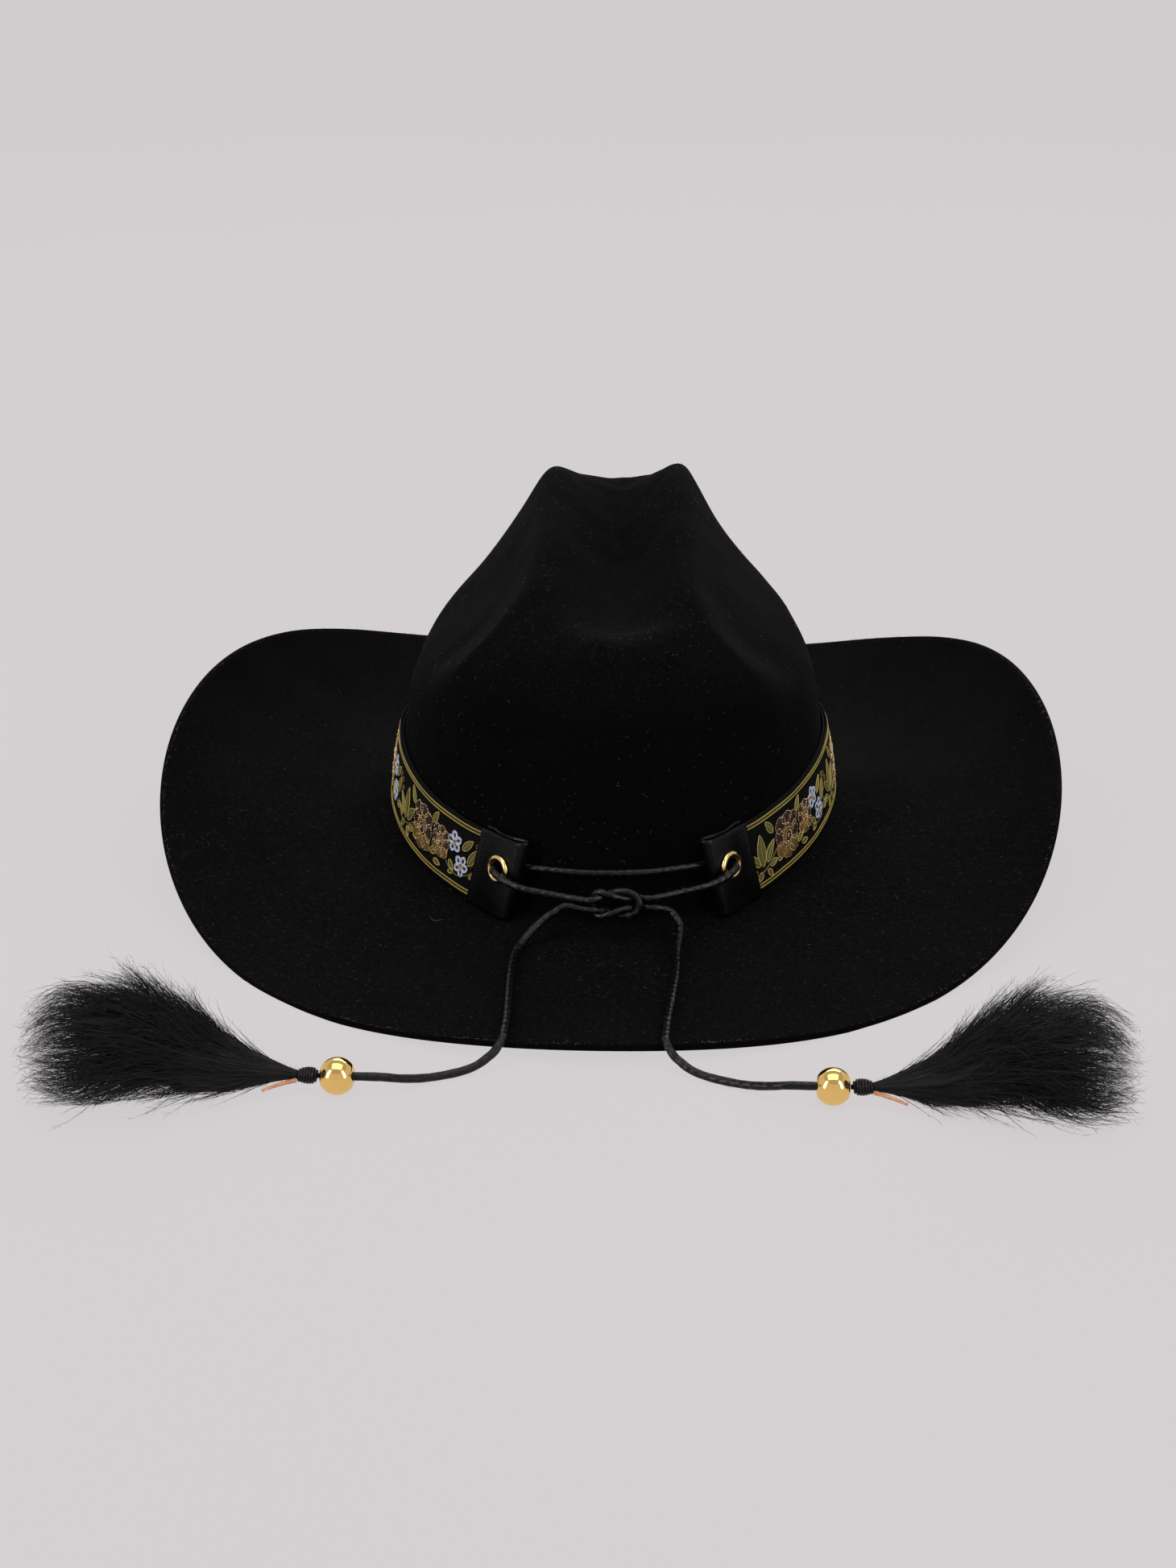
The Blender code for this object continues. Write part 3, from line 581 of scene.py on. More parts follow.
def felt_material():
    n = Nodes("felt_fibres_top_lit", (0.005, 0.005, 0.0052), 0.97, shine=0.04)
    soft = n.noise(30.0, 3.0)
    fibre = n.noise(1500.0, 5.0, 0.75)
    speck = n.noise(620.0, 7.0, 0.9)
    # Painted light: the fibre flecks are pushed lighter where the felt faces up (normal Z times 0.09
    # added to the fleck noise), a painted top light on the brim; the fleck noise itself is the felt's
    # own.
    facing = n.add("ShaderNodeNewGeometry")
    split = n.add("ShaderNodeSeparateXYZ")
    n.link(facing, "Normal", split, "Vector")
    flecks_and_top_light = n.add("ShaderNodeMath", operation="MULTIPLY_ADD")
    flecks_and_top_light.inputs[1].default_value = 0.09
    n.link(split, "Z", flecks_and_top_light, 0)
    n.link(speck, "Fac", flecks_and_top_light, 2)
    n.ramp(flecks_and_top_light, "Value", [(0.46, (0.0007, 0.0007, 0.0007)), (0.60, (0.0010, 0.0010, 0.0010)),
                          (0.70, (0.0052, 0.0051, 0.0053)), (0.79, (0.080, 0.078, 0.080))],
           "Base Color")
    n.ramp(soft, "Fac", [(0.3, (0.90,)), (0.7, (1.0,))], "Roughness")
    n.bump(fibre, "Fac", 0.6, 0.00035)
    n.bump(n.noise(260.0, 3.0, 0.6), "Fac", 0.30, 0.0006)
    n.sheen(0.004, 0.5)
    return n.mat


def leather_material(name, colour, rough=0.42):
    n = Nodes(name, colour, rough, shine=0.16)
    cells = n.add("ShaderNodeTexVoronoi", Scale=1500.0)
    n.link(n.coord(), "Vector", cells, "Vector")
    broad = n.noise(90.0, 4.0)
    n.ramp(broad, "Fac", [(0.3, tuple(c * 0.7 for c in colour)),
                          (0.7, tuple(min(1.0, c * 1.5) for c in colour))], "Base Color")
    n.ramp(broad, "Fac", [(0.25, (rough * 0.85,)), (0.75, (rough * 1.2,))], "Roughness")
    n.bump(cells, "Distance", 0.35, 0.00012)
    n.bump(n.noise(420.0, 4.0), "Fac", 0.25, 0.0002)
    return n.mat


def cord_material():
    n = Nodes("waxed_lace", (0.002, 0.002, 0.0021), 0.29, shine=0.24)
    wave = n.wave(n.coord("UV", (0.55, 2.3, 1.0)), Scale=0.16, Distortion=5.0, Detail=3.0)
    wave.inputs["Detail Scale"].default_value = 1.6
    n.ramp(wave, "Fac", [(0.2, (0.0008, 0.0008, 0.0008)), (0.8, (0.0040, 0.0040, 0.0042))],
           "Base Color")
    n.bump(wave, "Fac", 0.5, 0.0002)
    n.bump(n.noise(900.0, 4.0, 0.7), "Fac", 0.4, 0.00016)
    return n.mat


def gold_material(name, colour, rough):
    n = Nodes(name, colour, rough, 1.0)
    wear = n.noise(240.0, 5.0, 0.6)
    n.ramp(wear, "Fac", [(0.3, (rough * 0.7,)), (0.75, (rough * 1.7,))], "Roughness")
    hue = n.noise(60.0, 2.0)
    n.ramp(hue, "Fac", [(0.3, tuple(c * 0.92 for c in colour)), (0.7, colour)], "Base Color")
    n.bump(n.noise(1300.0, 2.0), "Fac", 0.04, 0.00004)
    return n.mat


def thread_material(name, colour, metal=0.0, rough=0.55, pitch=2.6):
    """Satin stitch: fine threads across the motif, running along v."""
    n = Nodes(name, colour, rough, metal)
    wave = n.wave(n.coord("UV"), Scale=pitch * 0.16, Distortion=1.4, Detail=2.0)
    dark = tuple(c * 0.45 for c in colour)
    light = tuple(min(1.0, c * 1.35) for c in colour)
    n.ramp(wave, "Fac", [(0.1, dark), (0.75, light)], "Base Color")
    n.bump(wave, "Fac", 0.8, 0.00016)
    n.sheen(0.15, 0.3, colour)
    return n.mat


def weave_material(name, colour, scale, rough=0.75):
    n = Nodes(name, colour, rough, shine=0.09)
    a = n.wave(n.coord("UV"), Scale=scale)
    b = n.wave(n.coord("UV", turn=radians(62.0)), Scale=scale)
    mix = n.add("ShaderNodeMath", operation="MAXIMUM")
    n.link(a, "Fac", mix, 0)
    n.link(b, "Fac", mix, 1)
    n.ramp(mix, "Value", [(0.3, tuple(c * 0.5 for c in colour)),
                          (0.95, tuple(c * 1.4 for c in colour))], "Base Color")
    n.bump(mix, "Value", 0.6, 0.00015)
    n.sheen(0.006, 0.4)
    return n.mat


def feather_material():
    n = Nodes("marabou_down", (0.004, 0.004, 0.0043), 0.62, shine=0.22)
    tone = n.add("ShaderNodeNewGeometry")
    n.ramp(tone, "Random Per Island", [(0.0, (0.0010, 0.0010, 0.0011)),
                                       (0.72, (0.0045, 0.0046, 0.0050)),
                                       (1.0, (0.024, 0.0245, 0.026))], "Base Color")
    n.bump(n.noise(1600.0, 2.0), "Fac", 0.3, 0.0001)
    n.sheen(0.02, 0.35)
    return n.mat


def lint_material():
    n = Nodes("stray_fibre", (0.05, 0.05, 0.055), 0.9)
    n.ramp(n.noise(30.0, 2.0), "Fac", [(0.4, (0.012, 0.012, 0.013)), (0.68, (0.16, 0.155, 0.16))],
           "Base Color")
    return n.mat


def quill_material():
    n = Nodes("bare_quill", (0.55, 0.23, 0.10), 0.4)
    streak = n.noise(120.0, 4.0, 0.6, n.coord("Object", (1.0, 9.0, 9.0)))
    n.ramp(streak, "Fac", [(0.3, (0.30, 0.10, 0.04)), (0.7, (0.72, 0.36, 0.19))], "Base Color")
    n.bump(streak, "Fac", 0.3, 0.0001)
    return n.mat


MAT = {
    "felt": felt_material(),
    "leather": leather_material("black_leather", (0.0012, 0.0011, 0.0012), 0.26),
    "sweat": leather_material("sweatband_leather", (0.020, 0.018, 0.017), 0.5),
    "cord": cord_material(),
    "gold": gold_material("gold_bead_metal", (1.0, 0.66, 0.22), 0.08),
    "brass": gold_material("eyelet_brass", (0.86, 0.62, 0.26), 0.16),
    "ground": weave_material("ribbon_ground", (0.0011, 0.0010, 0.0011), 0.55),
    "grosgrain": weave_material("backing_weave", (0.010, 0.010, 0.011), 0.35),
    "satin": weave_material("bow_satin", (0.02, 0.02, 0.022), 0.9, 0.35),
    "border": thread_material("border_gold", (0.38, 0.28, 0.060), 0.25, 0.42, 3.0),
    "olive": thread_material("leaf_olive", (0.085, 0.075, 0.010), 0.0, 0.6, 2.4),
    "lime": thread_material("leaf_outline", (0.46, 0.38, 0.095), 0.15, 0.5, 3.0),
    "bronze": thread_material("rose_bronze", (0.024, 0.006, 0.003), 0.15, 0.45, 2.2),
    "wine": thread_material("rose_heart", (0.016, 0.004, 0.003), 0.0, 0.5, 2.2),
    "tan": thread_material("petal_tan", (0.15, 0.080, 0.016), 0.2, 0.5, 2.4),
    "white": thread_material("petal_pale", (0.52, 0.58, 0.78), 0.0, 0.55, 2.6),
    "glitter": gold_material("metallic_thread", (1.0, 0.76, 0.42), 0.22),
    "feather": feather_material(),
    "quill": quill_material(),
    "lint": lint_material(),
}


# ---------------------------------------------------------------- felt

def felt_outline():
    """Outer felt surface: rings from the brim edge in to the crown, then up to the crease."""
    angles = [-pi / 2 + 2 * pi * i / STATIONS for i in range(STATIONS)]
    shares = [1.0 - k / BRIM_STEPS for k in range(BRIM_STEPS)]
    rings = [[brim_point(t, s) for t in angles] for s in shares]
    columns = [crown_profile(t, CROWN_STEPS) for t in angles]
    rings += [[columns[i][k] for i in range(STATIONS)] for k in range(CROWN_STEPS)]
    return np.array([[tuple(p) for p in ring] for ring in rings])


def ring_normals(g):
    across = np.roll(g, -1, 1) - np.roll(g, 1, 1)
    along = np.gradient(g, axis=0)
    n = np.cross(across, along)
    return n / np.maximum(np.linalg.norm(n, axis=2), 1e-9)[:, :, None]


def build_felt():
    g = felt_outline()
    k0 = BRIM_STEPS
    for _ in range(3):
        g[k0 - 2:k0 + 3] = (g[k0 - 3:k0 + 2] + 2 * g[k0 - 2:k0 + 3] + g[k0 - 1:k0 + 4]) / 4
    for _ in range(2):
        g[-4:] = (np.roll(g[-4:], 1, 1) + 2 * g[-4:] + np.roll(g[-4:], -1, 1)) / 4
    n = ring_normals(g)
    rows, cols = g.shape[:2]
    a = np.arange(cols) * 2 * pi / cols
    r = np.arange(rows)[:, None] / rows
    wave = (0.20 * np.sin(5 * a + 9 * r) + 0.14 * np.sin(11 * a - 14 * r)
            + 0.10 * np.sin(23 * a + 31 * r))
    outer = g + n * (wave * 0.9 - 0.05)[:, :, None]
    inner = g - n * FELT
    middle = (outer[0] + inner[0]) / 2
    out = middle - RIM_CENTRE
    out /= np.linalg.norm(out, axis=1)[:, None]
    rim = [middle + (outer[0] - inner[0]) / 2 * cos(b) + out * RIM_BULGE * sin(b) ** 0.6
           for b in [pi * k / 6 for k in range(1, 6)]]
    low = np.concatenate([np.array(rim), inner])
    low[:, :, 2] = np.maximum(low[:, :, 2], 0.02)
    grid = np.concatenate([outer[::-1], low])
    rows2 = len(grid)
    faces = grid_faces(rows2, cols, False, True)
    for base, flip in ((0, True), ((rows2 - 1) * cols, False)):
        half = cols // 2
        cap = [(base, base + 1, base + cols - 1)]
        cap += [(base + i, base + i + 1, base + cols - i - 1, base + cols - i)
                for i in range(1, half - 1)]
        cap.append((base + half - 1, base + half, base + half + 1))
        faces += [tuple(reversed(f)) for f in cap] if flip else cap
    make("felt_shell", grid.reshape(-1, 3), faces, "felt", "hat",
         stands_for=["felt_body"])
    build_lint(outer, n)


def build_lint(outer, n):
    """Short stray fibres lying on the felt and standing off its edges."""
    rng = np.random.default_rng(11)
    pile = Pile()
    rows, cols = outer.shape[:2]
    for k in range(LINT_COUNT):
        i = 0 if k < LINT_ON_EDGE else int(rng.integers(1, rows - 4))
        j = int(rng.integers(0, cols))
        p = outer[i, j] + (outer[i, (j + 1) % cols] - outer[i, j]) * rng.random()
        d = rng.normal(size=3)
        d = d - n[i, j] * (d @ n[i, j]) * 0.8
        d /= np.linalg.norm(d)
        length = rng.uniform(0.5, 1.4)
        bend = rng.normal(size=3) * 0.25
        path = [p + n[i, j] * 0.02 + d * length * q
                + (bend + n[i, j] * 0.5) * length * q * (1.2 - q) for q in (0.0, 0.35, 0.7, 1.0)]
        path = [np.array((q[0], q[1], max(q[2], 0.08))) for q in path]
        pile.add(*tube(path, 0.035, 3))
    thread = [brim_at(-63.0 + 5.6 * q, 0.22 + 0.018 * sin(4.2 * q)) for q in shares(12)]
    path = [p + m * (0.28 + 0.35 * sin(3.1 * k / 11)) for k, (p, m) in enumerate(thread)]
    pile.add(*tube(path, 0.13, 6, taper=domed(12)))
    make("felt_lint", pile.verts, pile.faces, "lint", "hat")


# ---------------------------------------------------------------- inside the crown

def inside_point(t, h, depth):
    return on_wall(t, h) - oval_normal(t) * depth


def build_inside():
    angles = circle(240)
    near = SWEAT_DEPTH
    rows = []
    for t in angles:
        row = []
        for q in shares(15):
            h = -1.0 + (SWEAT_HEIGHT + 1.0) * q
            wave = 0.18 * sin(7 * t + 2.0 * q) * q
            row.append(inside_point(t, h, near + SWEAT_THICK / 2 + 0.1 + 2.3 * q * q + wave))
        rows.append(row)
    verts, faces = shell(rows, SWEAT_THICK, wrap=True)
    make("sweatband_skin", verts, faces, "sweat", "hat",
         stands_for=["sweatband"])
    path = [inside_point(t, -2.35, near + 1.0) for t in angles]
    v, f, uv = tube(path, 1.0, 12, closed=True)
    make("sweatband_piping", v, f, "leather", "hat", uv, ["sweatband_reed"])
    pile = Pile()
    deep = near + SWEAT_THICK + 0.28
    for t in circle(SWEAT_STITCHES):
        a = inside_point(t, 1.6, deep)
        b = inside_point(t + 0.00924, 1.6, deep)
        path = [a + (b - a) * q - oval_normal(t) * 0.12 * sin(pi * q)
                for q in (0.0, 0.25, 0.5, 0.75, 1.0)]
        pile.add(*tube(path, 0.2, 6, taper=[0.5, 1, 1, 1, 0.5]))
    make("sweatband_stitches", pile.verts, pile.faces, "grosgrain", "hat")
    build_bow(near + SWEAT_THICK)


def build_bow(far):
    """Small satin bow sewn at the back of the sweatband, on the inside."""
    o = inside_point(radians(-90.0), 30.0, far + 2.4) + Vector((0.0, 1.9, 0.0))
    pile = Pile()

    def strip(path, widths, lean):
        d = Vector((sin(lean), 0.0, cos(lean)))
        pile.add(*shell([[o + Vector(p) + d * (w * (m / 5 - 0.5)) for m in range(6)]
                         for p, w in zip(path, widths)], 0.22))

    turn = circle(16) + [2 * pi]
    for s in (-1.0, 1.0):
        loop = [(s * (4.9 - 4.3 * cos(a)), 0.75 * sin(a), 0.15 * sin(2 * a))
                for a in turn]
        strip(loop, [1.6 + 2.9 * sin(a / 2) for a in turn], 0.12 * s)
    knot = [(0.95 * cos(a), 0.95 * sin(a), 0.0) for a in circle(12) + [2 * pi]]
    strip(knot, [2.9] * len(knot), 0.0)
    make("sweatband_ribbon_bow", pile.verts, pile.faces, "satin", "hat",
         stands_for=["sweatband_bow"])


# ---------------------------------------------------------------- band

def lift_off(u):
    edge = min(u, ROUND - u) - BAND_END
    return 1.3 * (1.0 - smooth(edge / 22.0))


def slanted(u, h):
    edge = min(u, ROUND - u) - BAND_END
    shear = TAB_SLANT * ((h - TAB_LOW) / TAB_HEIGHT - 0.5) * (1.0 - smooth(edge / 26.0))
    return u - shear if u < ROUND / 2 else u + shear


def band_depth(u, extra=0.0):
    return BAND_GAP + BACKING_THICK + PIECE_GAP + RIBBON_THICK + lift_off(u) + extra


def band_slope(u, h, n):
    """Point on the band, leaning with its slanted ends."""
    return wall(slanted(u, h), h, n)


def build_band():
    for name, node, n0, thick, inset, mat, slot in (
            ("backing_strip", "hatband_backing", BAND_GAP, BACKING_THICK, 0.5, "grosgrain",
             "grosgrain"),
            ("ribbon_strip", "hatband_ribbon", BAND_GAP + BACKING_THICK + PIECE_GAP,
             RIBBON_THICK, 0.0, "ground", "ribbon")):
        rows, uv_rows = [], []
        count = 320
        for k in range(count + 1):
            u = BAND_END + (ROUND - 2 * BAND_END) * k / count
            row = []
            for m in range(11):
                h = BAND_LOW + inset + (BAND_WIDTH - 2 * inset) * m / 10
                ripple = 0.10 * sin(u * 0.21 + m) if mat == "ground" else 0.0
                row.append(band_slope(u, h, n0 + thick / 2 + lift_off(u) + ripple))
                uv_rows.append((u, h))
            rows.append(row)
        verts, faces = shell(rows, thick)
        uv = uv_rows + uv_rows
        uv += [(0.0, 0.0)] * (len(verts) - len(uv))
        make(name, verts, faces, mat, "hatband", uv, [node])
    build_embroidery()


class Stitches:
    """Raised satin-stitch shapes laid on the band, gathered by thread colour."""

    def __init__(self):
        self.parts = {}

    def pile(self, colour):
        return self.parts.setdefault(colour, Pile())

    def pad(self, colour, centre, outline, high, rings=4, base=0.0):
        """Domed patch inside an outline of (x, y) about its centre, both in band millimetres."""
        u0, h0 = centre
        verts, uvs = [], []
        n = len(outline)
        cx = sum(p[0] for p in outline) / n
        cy = sum(p[1] for p in outline) / n
        levels = [(1.0, -0.25), (0.96, 0.45)]
        levels += [(0.86 * (1 - k / rings), 1.0 - 0.75 * (1 - k / rings) ** 2.5 * 0.5)
                   for k in range(rings)]
        for share, level in levels:
            for x, y in outline:
                px = cx + (x - cx) * share
                py = cy + (y - cy) * share
                u = u0 + px
                h = min(max(h0 + py, BAND_LOW + 0.05), BAND_LOW + BAND_WIDTH - 0.05)
                verts.append(band_slope(u, h, band_depth(u, base + high * level)))
                uvs.append((px, py))
        u = u0 + cx
        verts.append(band_slope(u, h0 + cy, band_depth(u, base + high)))
        uvs.append((cx, cy))
        faces = grid_faces(len(levels), n, False, True)
        last = (len(levels) - 1) * n
        tip = len(verts) - 1
        faces += [(last + i, last + (i + 1) % n, tip) for i in range(n)]
        faces.append(tuple(range(n - 1, -1, -1)))
        self.pile(colour).add(verts, faces, uvs)

    def line(self, colour, points, radius, base=0.12, closed=False, sides=6):
        path = [band_slope(u, h, band_depth(u, base)) for u, h in points]
        self.pile(colour).add(*tube(path, radius, sides, closed,
                                    taper=None if closed else domed(len(path))))

    def finish(self):
        for colour, pile in self.parts.items():
            make("stitch_" + colour, pile.verts, pile.faces, colour, "hatband",
                 pile.uvs)


def leaf_outline(length, width, lean, bow=0.0, count=22):
    """Pointed leaf from its foot at the origin, leaning by an angle from upright."""
    left, right = [], []
    half = count // 2
    for q in shares(half + 1):
        w = width / 2 * sin(pi * q ** 0.82) ** 0.85 if 0 < q < 1 else 0.0
        off = bow * sin(pi * q)
        left.append((-w + off, length * q))
        right.append((w + off, length * q))
    pts = right + list(reversed(left[1:-1]))
    c = cos(lean)
    s = sin(lean)
    return [(x * c + y * s, -x * s + y * c) for x, y in pts]


def curve2(points, count):
    return [(p.x, p.y) for p in spline([(x, y, 0.0) for x, y in points], count)]


def add_leaf(st, u, h, length, width, lean, bow, vein):
    out = leaf_outline(length, width, lean, bow)
    st.pad("olive", (u, h), out, 0.26)
    st.line("lime", [(u + x, h + y) for x, y in out], 0.19, 0.16, closed=True)
    if vein:
        c = cos(lean)
        s = sin(lean)
        mid = []
        for k in range(7):
            q = 0.05 + 0.82 * k / 6
            x = bow * sin(pi * q)
            y = length * q
            mid.append((u + x * c + y * s, h - x * s + y * c))
        st.line("lime", mid, 0.12, 0.30)


def petal(cx, cy, rx, ry, turn=0.0, wobble=0.0, count=20):
    """Ragged oval about (cx, cy)."""
    pts = []
    c = cos(turn)
    s = sin(turn)
    for a in circle(count):
        r = 1.0 + wobble * sin(5 * a + 1.3)
        x = rx * r * cos(a)
        y = ry * r * sin(a)
        pts.append((cx + x * c - y * s, cy + x * s + y * c))
    return pts


BEAD_ANGLES = [(radians(a), radians(b)) for a, b in
               [(0, 0)] + [(60 * k, 60) for k in range(6)]
               + [(60 * k + 30, 120) for k in range(6)] + [(0, 180)]]
BEAD_FACES = []
for k in range(6):
    m = (k + 1) % 6
    BEAD_FACES += [(0, 1 + k, 1 + m), (1 + k, 7 + k, 1 + m), (1 + m, 7 + k, 7 + m),
                   (13, 7 + m, 7 + k)]


def add_beads(st, points, radius, rng, base=0.42):
    """Tiny metallic loops that glitter along a line."""
    for u, h in points:
        u += rng.normal() * 0.05
        h += rng.normal() * 0.05
        r = radius * rng.uniform(0.75, 1.2)
        o = band_slope(u, h, band_depth(u, base + rng.uniform(-0.05, 0.08)))
        stretch = rng.uniform(0.9, 1.5)
        verts = [o + Vector((r * stretch * sin(b) * cos(a),
                             r * sin(b) * sin(a), r * cos(b)))
                 for a, b in BEAD_ANGLES]
        st.pile("glitter").add(verts, BEAD_FACES, [(0.0, 0.0)] * len(verts))


def add_rose(st, u, h, wide, tall, rng, big=True):
    """Full bloom: dark outer petals, tan lower petals and a spiral heart outlined in metal."""
    rx = wide / 2
    ry = tall / 2
    st.pad("wine", (u, h), petal(0, 0.2, rx * 0.93, ry * 0.92, 0, 0.04, 26), 0.24)
    dark = [(-0.50, 0.62, 0.44, 0.34, 0.5), (0.08, 0.76, 0.46, 0.26, 0.0),
            (0.60, 0.50, 0.38, 0.38, -0.7), (-0.66, 0.10, 0.34, 0.42, 0.2),
            (0.70, -0.04, 0.30, 0.42, -0.1)]
    light = [(-0.58, -0.44, 0.42, 0.34, -0.6), (-0.06, -0.70, 0.46, 0.28, 0.0),
             (0.52, -0.56, 0.42, 0.32, 0.6)]
    for x, y, a, b, turn in dark:
        x, y, a, b = x * rx, y * ry, a * rx, b * ry
        st.pad("bronze", (u, h), petal(x, y, a, b, turn, 0.05), 0.34, base=0.08)
        rim = petal(x, y, a * 0.97, b * 0.97, turn, 0.05, 26)
        add_beads(st, [(u + p[0], h + p[1]) for p in rim], 0.19 if big else 0.16, rng)
    for x, y, a, b, turn in light:
        x, y, a, b = x * rx, y * ry, a * rx, b * ry
        st.pad("tan", (u, h), petal(x, y, a, b, turn, 0.06), 0.40, base=0.14)
        rim = petal(x, y, a, b, turn, 0.06, 22)
        add_beads(st, [(u + p[0], h + p[1]) for p in rim], 0.17 if big else 0.15, rng, 0.5)
    for k, (r, colour) in enumerate(((0.52, "bronze"), (0.40, "tan"), (0.27, "wine"))):
        ox = rx * (0.04 * (-1) ** k)
        oy = ry * (0.06 - 0.05 * k)
        st.pad(colour, (u, h), petal(ox, oy, rx * r, ry * r * 0.86, 0.4 * k, 0.07), 0.30,
               base=0.24 + 0.12 * k)
        pts = [(u + ox + rx * r * cos(a + k) * 0.96, h + oy + ry * r * 0.84 * sin(a + k))
               for a in [pi * 1.7 * q / 18 for q in range(19)]]
        add_beads(st, pts, 0.17 if big else 0.14, rng, 0.55 + 0.12 * k)
    add_beads(st, [(u + 0.5 * cos(a), h + 0.5 * sin(a)) for a in range(6)], 0.2, rng,
              0.95)


def add_blossom(st, u, h, size, rng, turn=0.0):
    """Five pale petals, each a raised outline, about a knotted gold heart."""
    for k in range(5):
        a = turn + pi / 2 + 2 * pi * k / 5
        cx = 0.56 * size * cos(a)
        cy = 0.60 * size * sin(a)
        out = petal(cx, cy, size * 0.44, size * 0.36, a, 0.03, 18)
        st.pad("white", (u, h), out, 0.22)
        st.pad("bronze", (u, h), petal(cx * 1.02, cy * 1.02, size * 0.23, size * 0.17, a), 0.16,
               base=0.16)
        st.line("white", [(u + x, h + y) for x, y in out], 0.20, 0.24, closed=True)
    heart = petal(0, 0, size * 0.30, size * 0.30, 0, 0.05)
    st.pad("tan", (u, h), heart, 0.42, base=0.12)
    add_beads(st, [(u + x * 0.8, h + y * 0.8) for x, y in heart[::2]], 0.17, rng, 0.55)
    add_beads(st, [(u, h), (u + 0.3, h - 0.3)], 0.2, rng, 0.62)


def add_berry(st, u, h, r):
    ring = [(u + r * cos(a), h + r * sin(a)) for a in circle(14)]
    st.pad("bronze", (u, h), petal(0, 0, r * 0.8, r * 0.8, 0, 0, 14), 0.3)
    st.line("tan", ring, 0.26, 0.26, closed=True)


# Leaves of one repeat: x along it, y up from mid band, length, width, lean, bow and vein.
FIRST_LEAVES = [
    (7.2, -5.6, 12.6, 4.5, 0.06, 0.0, True), (5.6, -4.8, 8.6, 3.2, -0.78, 0.4, True),
    (9.6, -4.8, 9.0, 3.4, 0.72, -0.4, True), (3.4, -6.4, 5.4, 2.6, -1.25, 0.0, True),
    (11.0, -6.6, 5.4, 2.4, 1.45, 0.0, True), (6.3, -7.4, 4.2, 2.2, -2.25, 0.0, False),
    (9.4, -7.6, 4.2, 2.2, 2.45, 0.0, False), (15.4, 4.6, 6.6, 2.8, -0.55, 0.0, True),
    (16.6, -7.2, 4.4, 2.3, 1.2, 0.0, False), (31.0, 5.2, 6.0, 2.7, 0.55, 0.0, True),
    (30.4, -6.2, 5.6, 2.7, 1.15, 0.0, True), (33.4, -8.2, 4.4, 2.1, 1.7, 0.0, False)]
LAST_LEAVES = [
    (43.2, -4.0, 4.6, 2.2, 2.4, 0.0, False), (50.2, 2.6, 7.0, 2.9, 0.75, 0.0, True),
    (54.4, -2.2, 8.0, 3.3, 0.42, 0.0, True), (55.8, -6.2, 5.8, 2.5, 1.3, 0.0, True),
    (46.6, -7.2, 3.8, 2.0, -2.0, 0.0, False)]
STEMS = [[(-1.5, -5.4), (4.0, -7.6), (9.5, -6.6), (14.0, -4.0), (18.5, -1.0)],
         [(40.5, -4.4), (44.0, -7.2), (49.5, -8.0), (54.5, -6.0), (58.5, -2.8)],
         [(55.6, -3.2), (58.2, 0.6), (59.6, 4.4)],
         [(57.4, -0.8), (60.2, 0.6), (61.4, 2.4)]]
REPEAT_LENGTH = 61.0           # the tables above are drawn for a repeat this long


def add_repeat(st, u, rng, span):
    """One repeat of the garland, starting at its leaf cluster."""
    k = span / REPEAT_LENGTH
    mid = BAND_LOW + BAND_WIDTH / 2

    def at(x):
        return u + x * k

    def stem(colour, points, count, radius):
        st.line(colour, [(at(x), mid + y) for x, y in curve2(points, count)], radius)

    def leaves(table):
        for x, y, length, width, lean, bow, vein in table:
            add_leaf(st, at(x), mid + y, length, width, lean, bow, vein)

    stem("olive", STEMS[0], 26, 0.36)
    leaves(FIRST_LEAVES)
    add_rose(st, at(23.6), mid - 0.2, 14.6, 17.2, rng)
    add_rose(st, at(37.2), mid + 0.4, 10.4, 12.2, rng, False)
    stem("olive", STEMS[1], 22, 0.32)
    add_blossom(st, at(45.4), mid + 3.8, 3.9, rng, 0.2)
    add_blossom(st, at(50.6), mid - 3.7, 3.9, rng, -0.4)
    leaves(LAST_LEAVES)
    stem("tan", STEMS[2], 10, 0.18)
    stem("tan", STEMS[3], 8, 0.18)
    for x, y, r in ((59.9, 5.4, 1.05), (61.8, 3.0, 0.95), (57.6, 6.6, 0.85)):
        add_berry(st, at(x), mid + y, r)


def build_embroidery():
    st = Stitches()
    rng = np.random.default_rng(5)
    lo = BAND_END + 0.6
    span = (ROUND - 2 * BAND_END - 1.2) / 8
    for k in range(8):
        add_repeat(st, lo + span * k + 0.4, rng, span)
    steps = 640
    for off, r, colour in ((1.20, 0.27, "border"), (2.50, 0.27, "border"), (1.85, 0.12, "olive")):
        for h in (BAND_LOW + off, BAND_LOW + BAND_WIDTH - off):
            pts = [(BAND_END + 0.4 + (ROUND - 2 * BAND_END - 0.8) * k / steps, h)
                   for k in range(steps + 1)]
            st.line(colour, pts, r, 0.02)
    st.finish()


# ---------------------------------------------------------------- leather tabs and eyelets

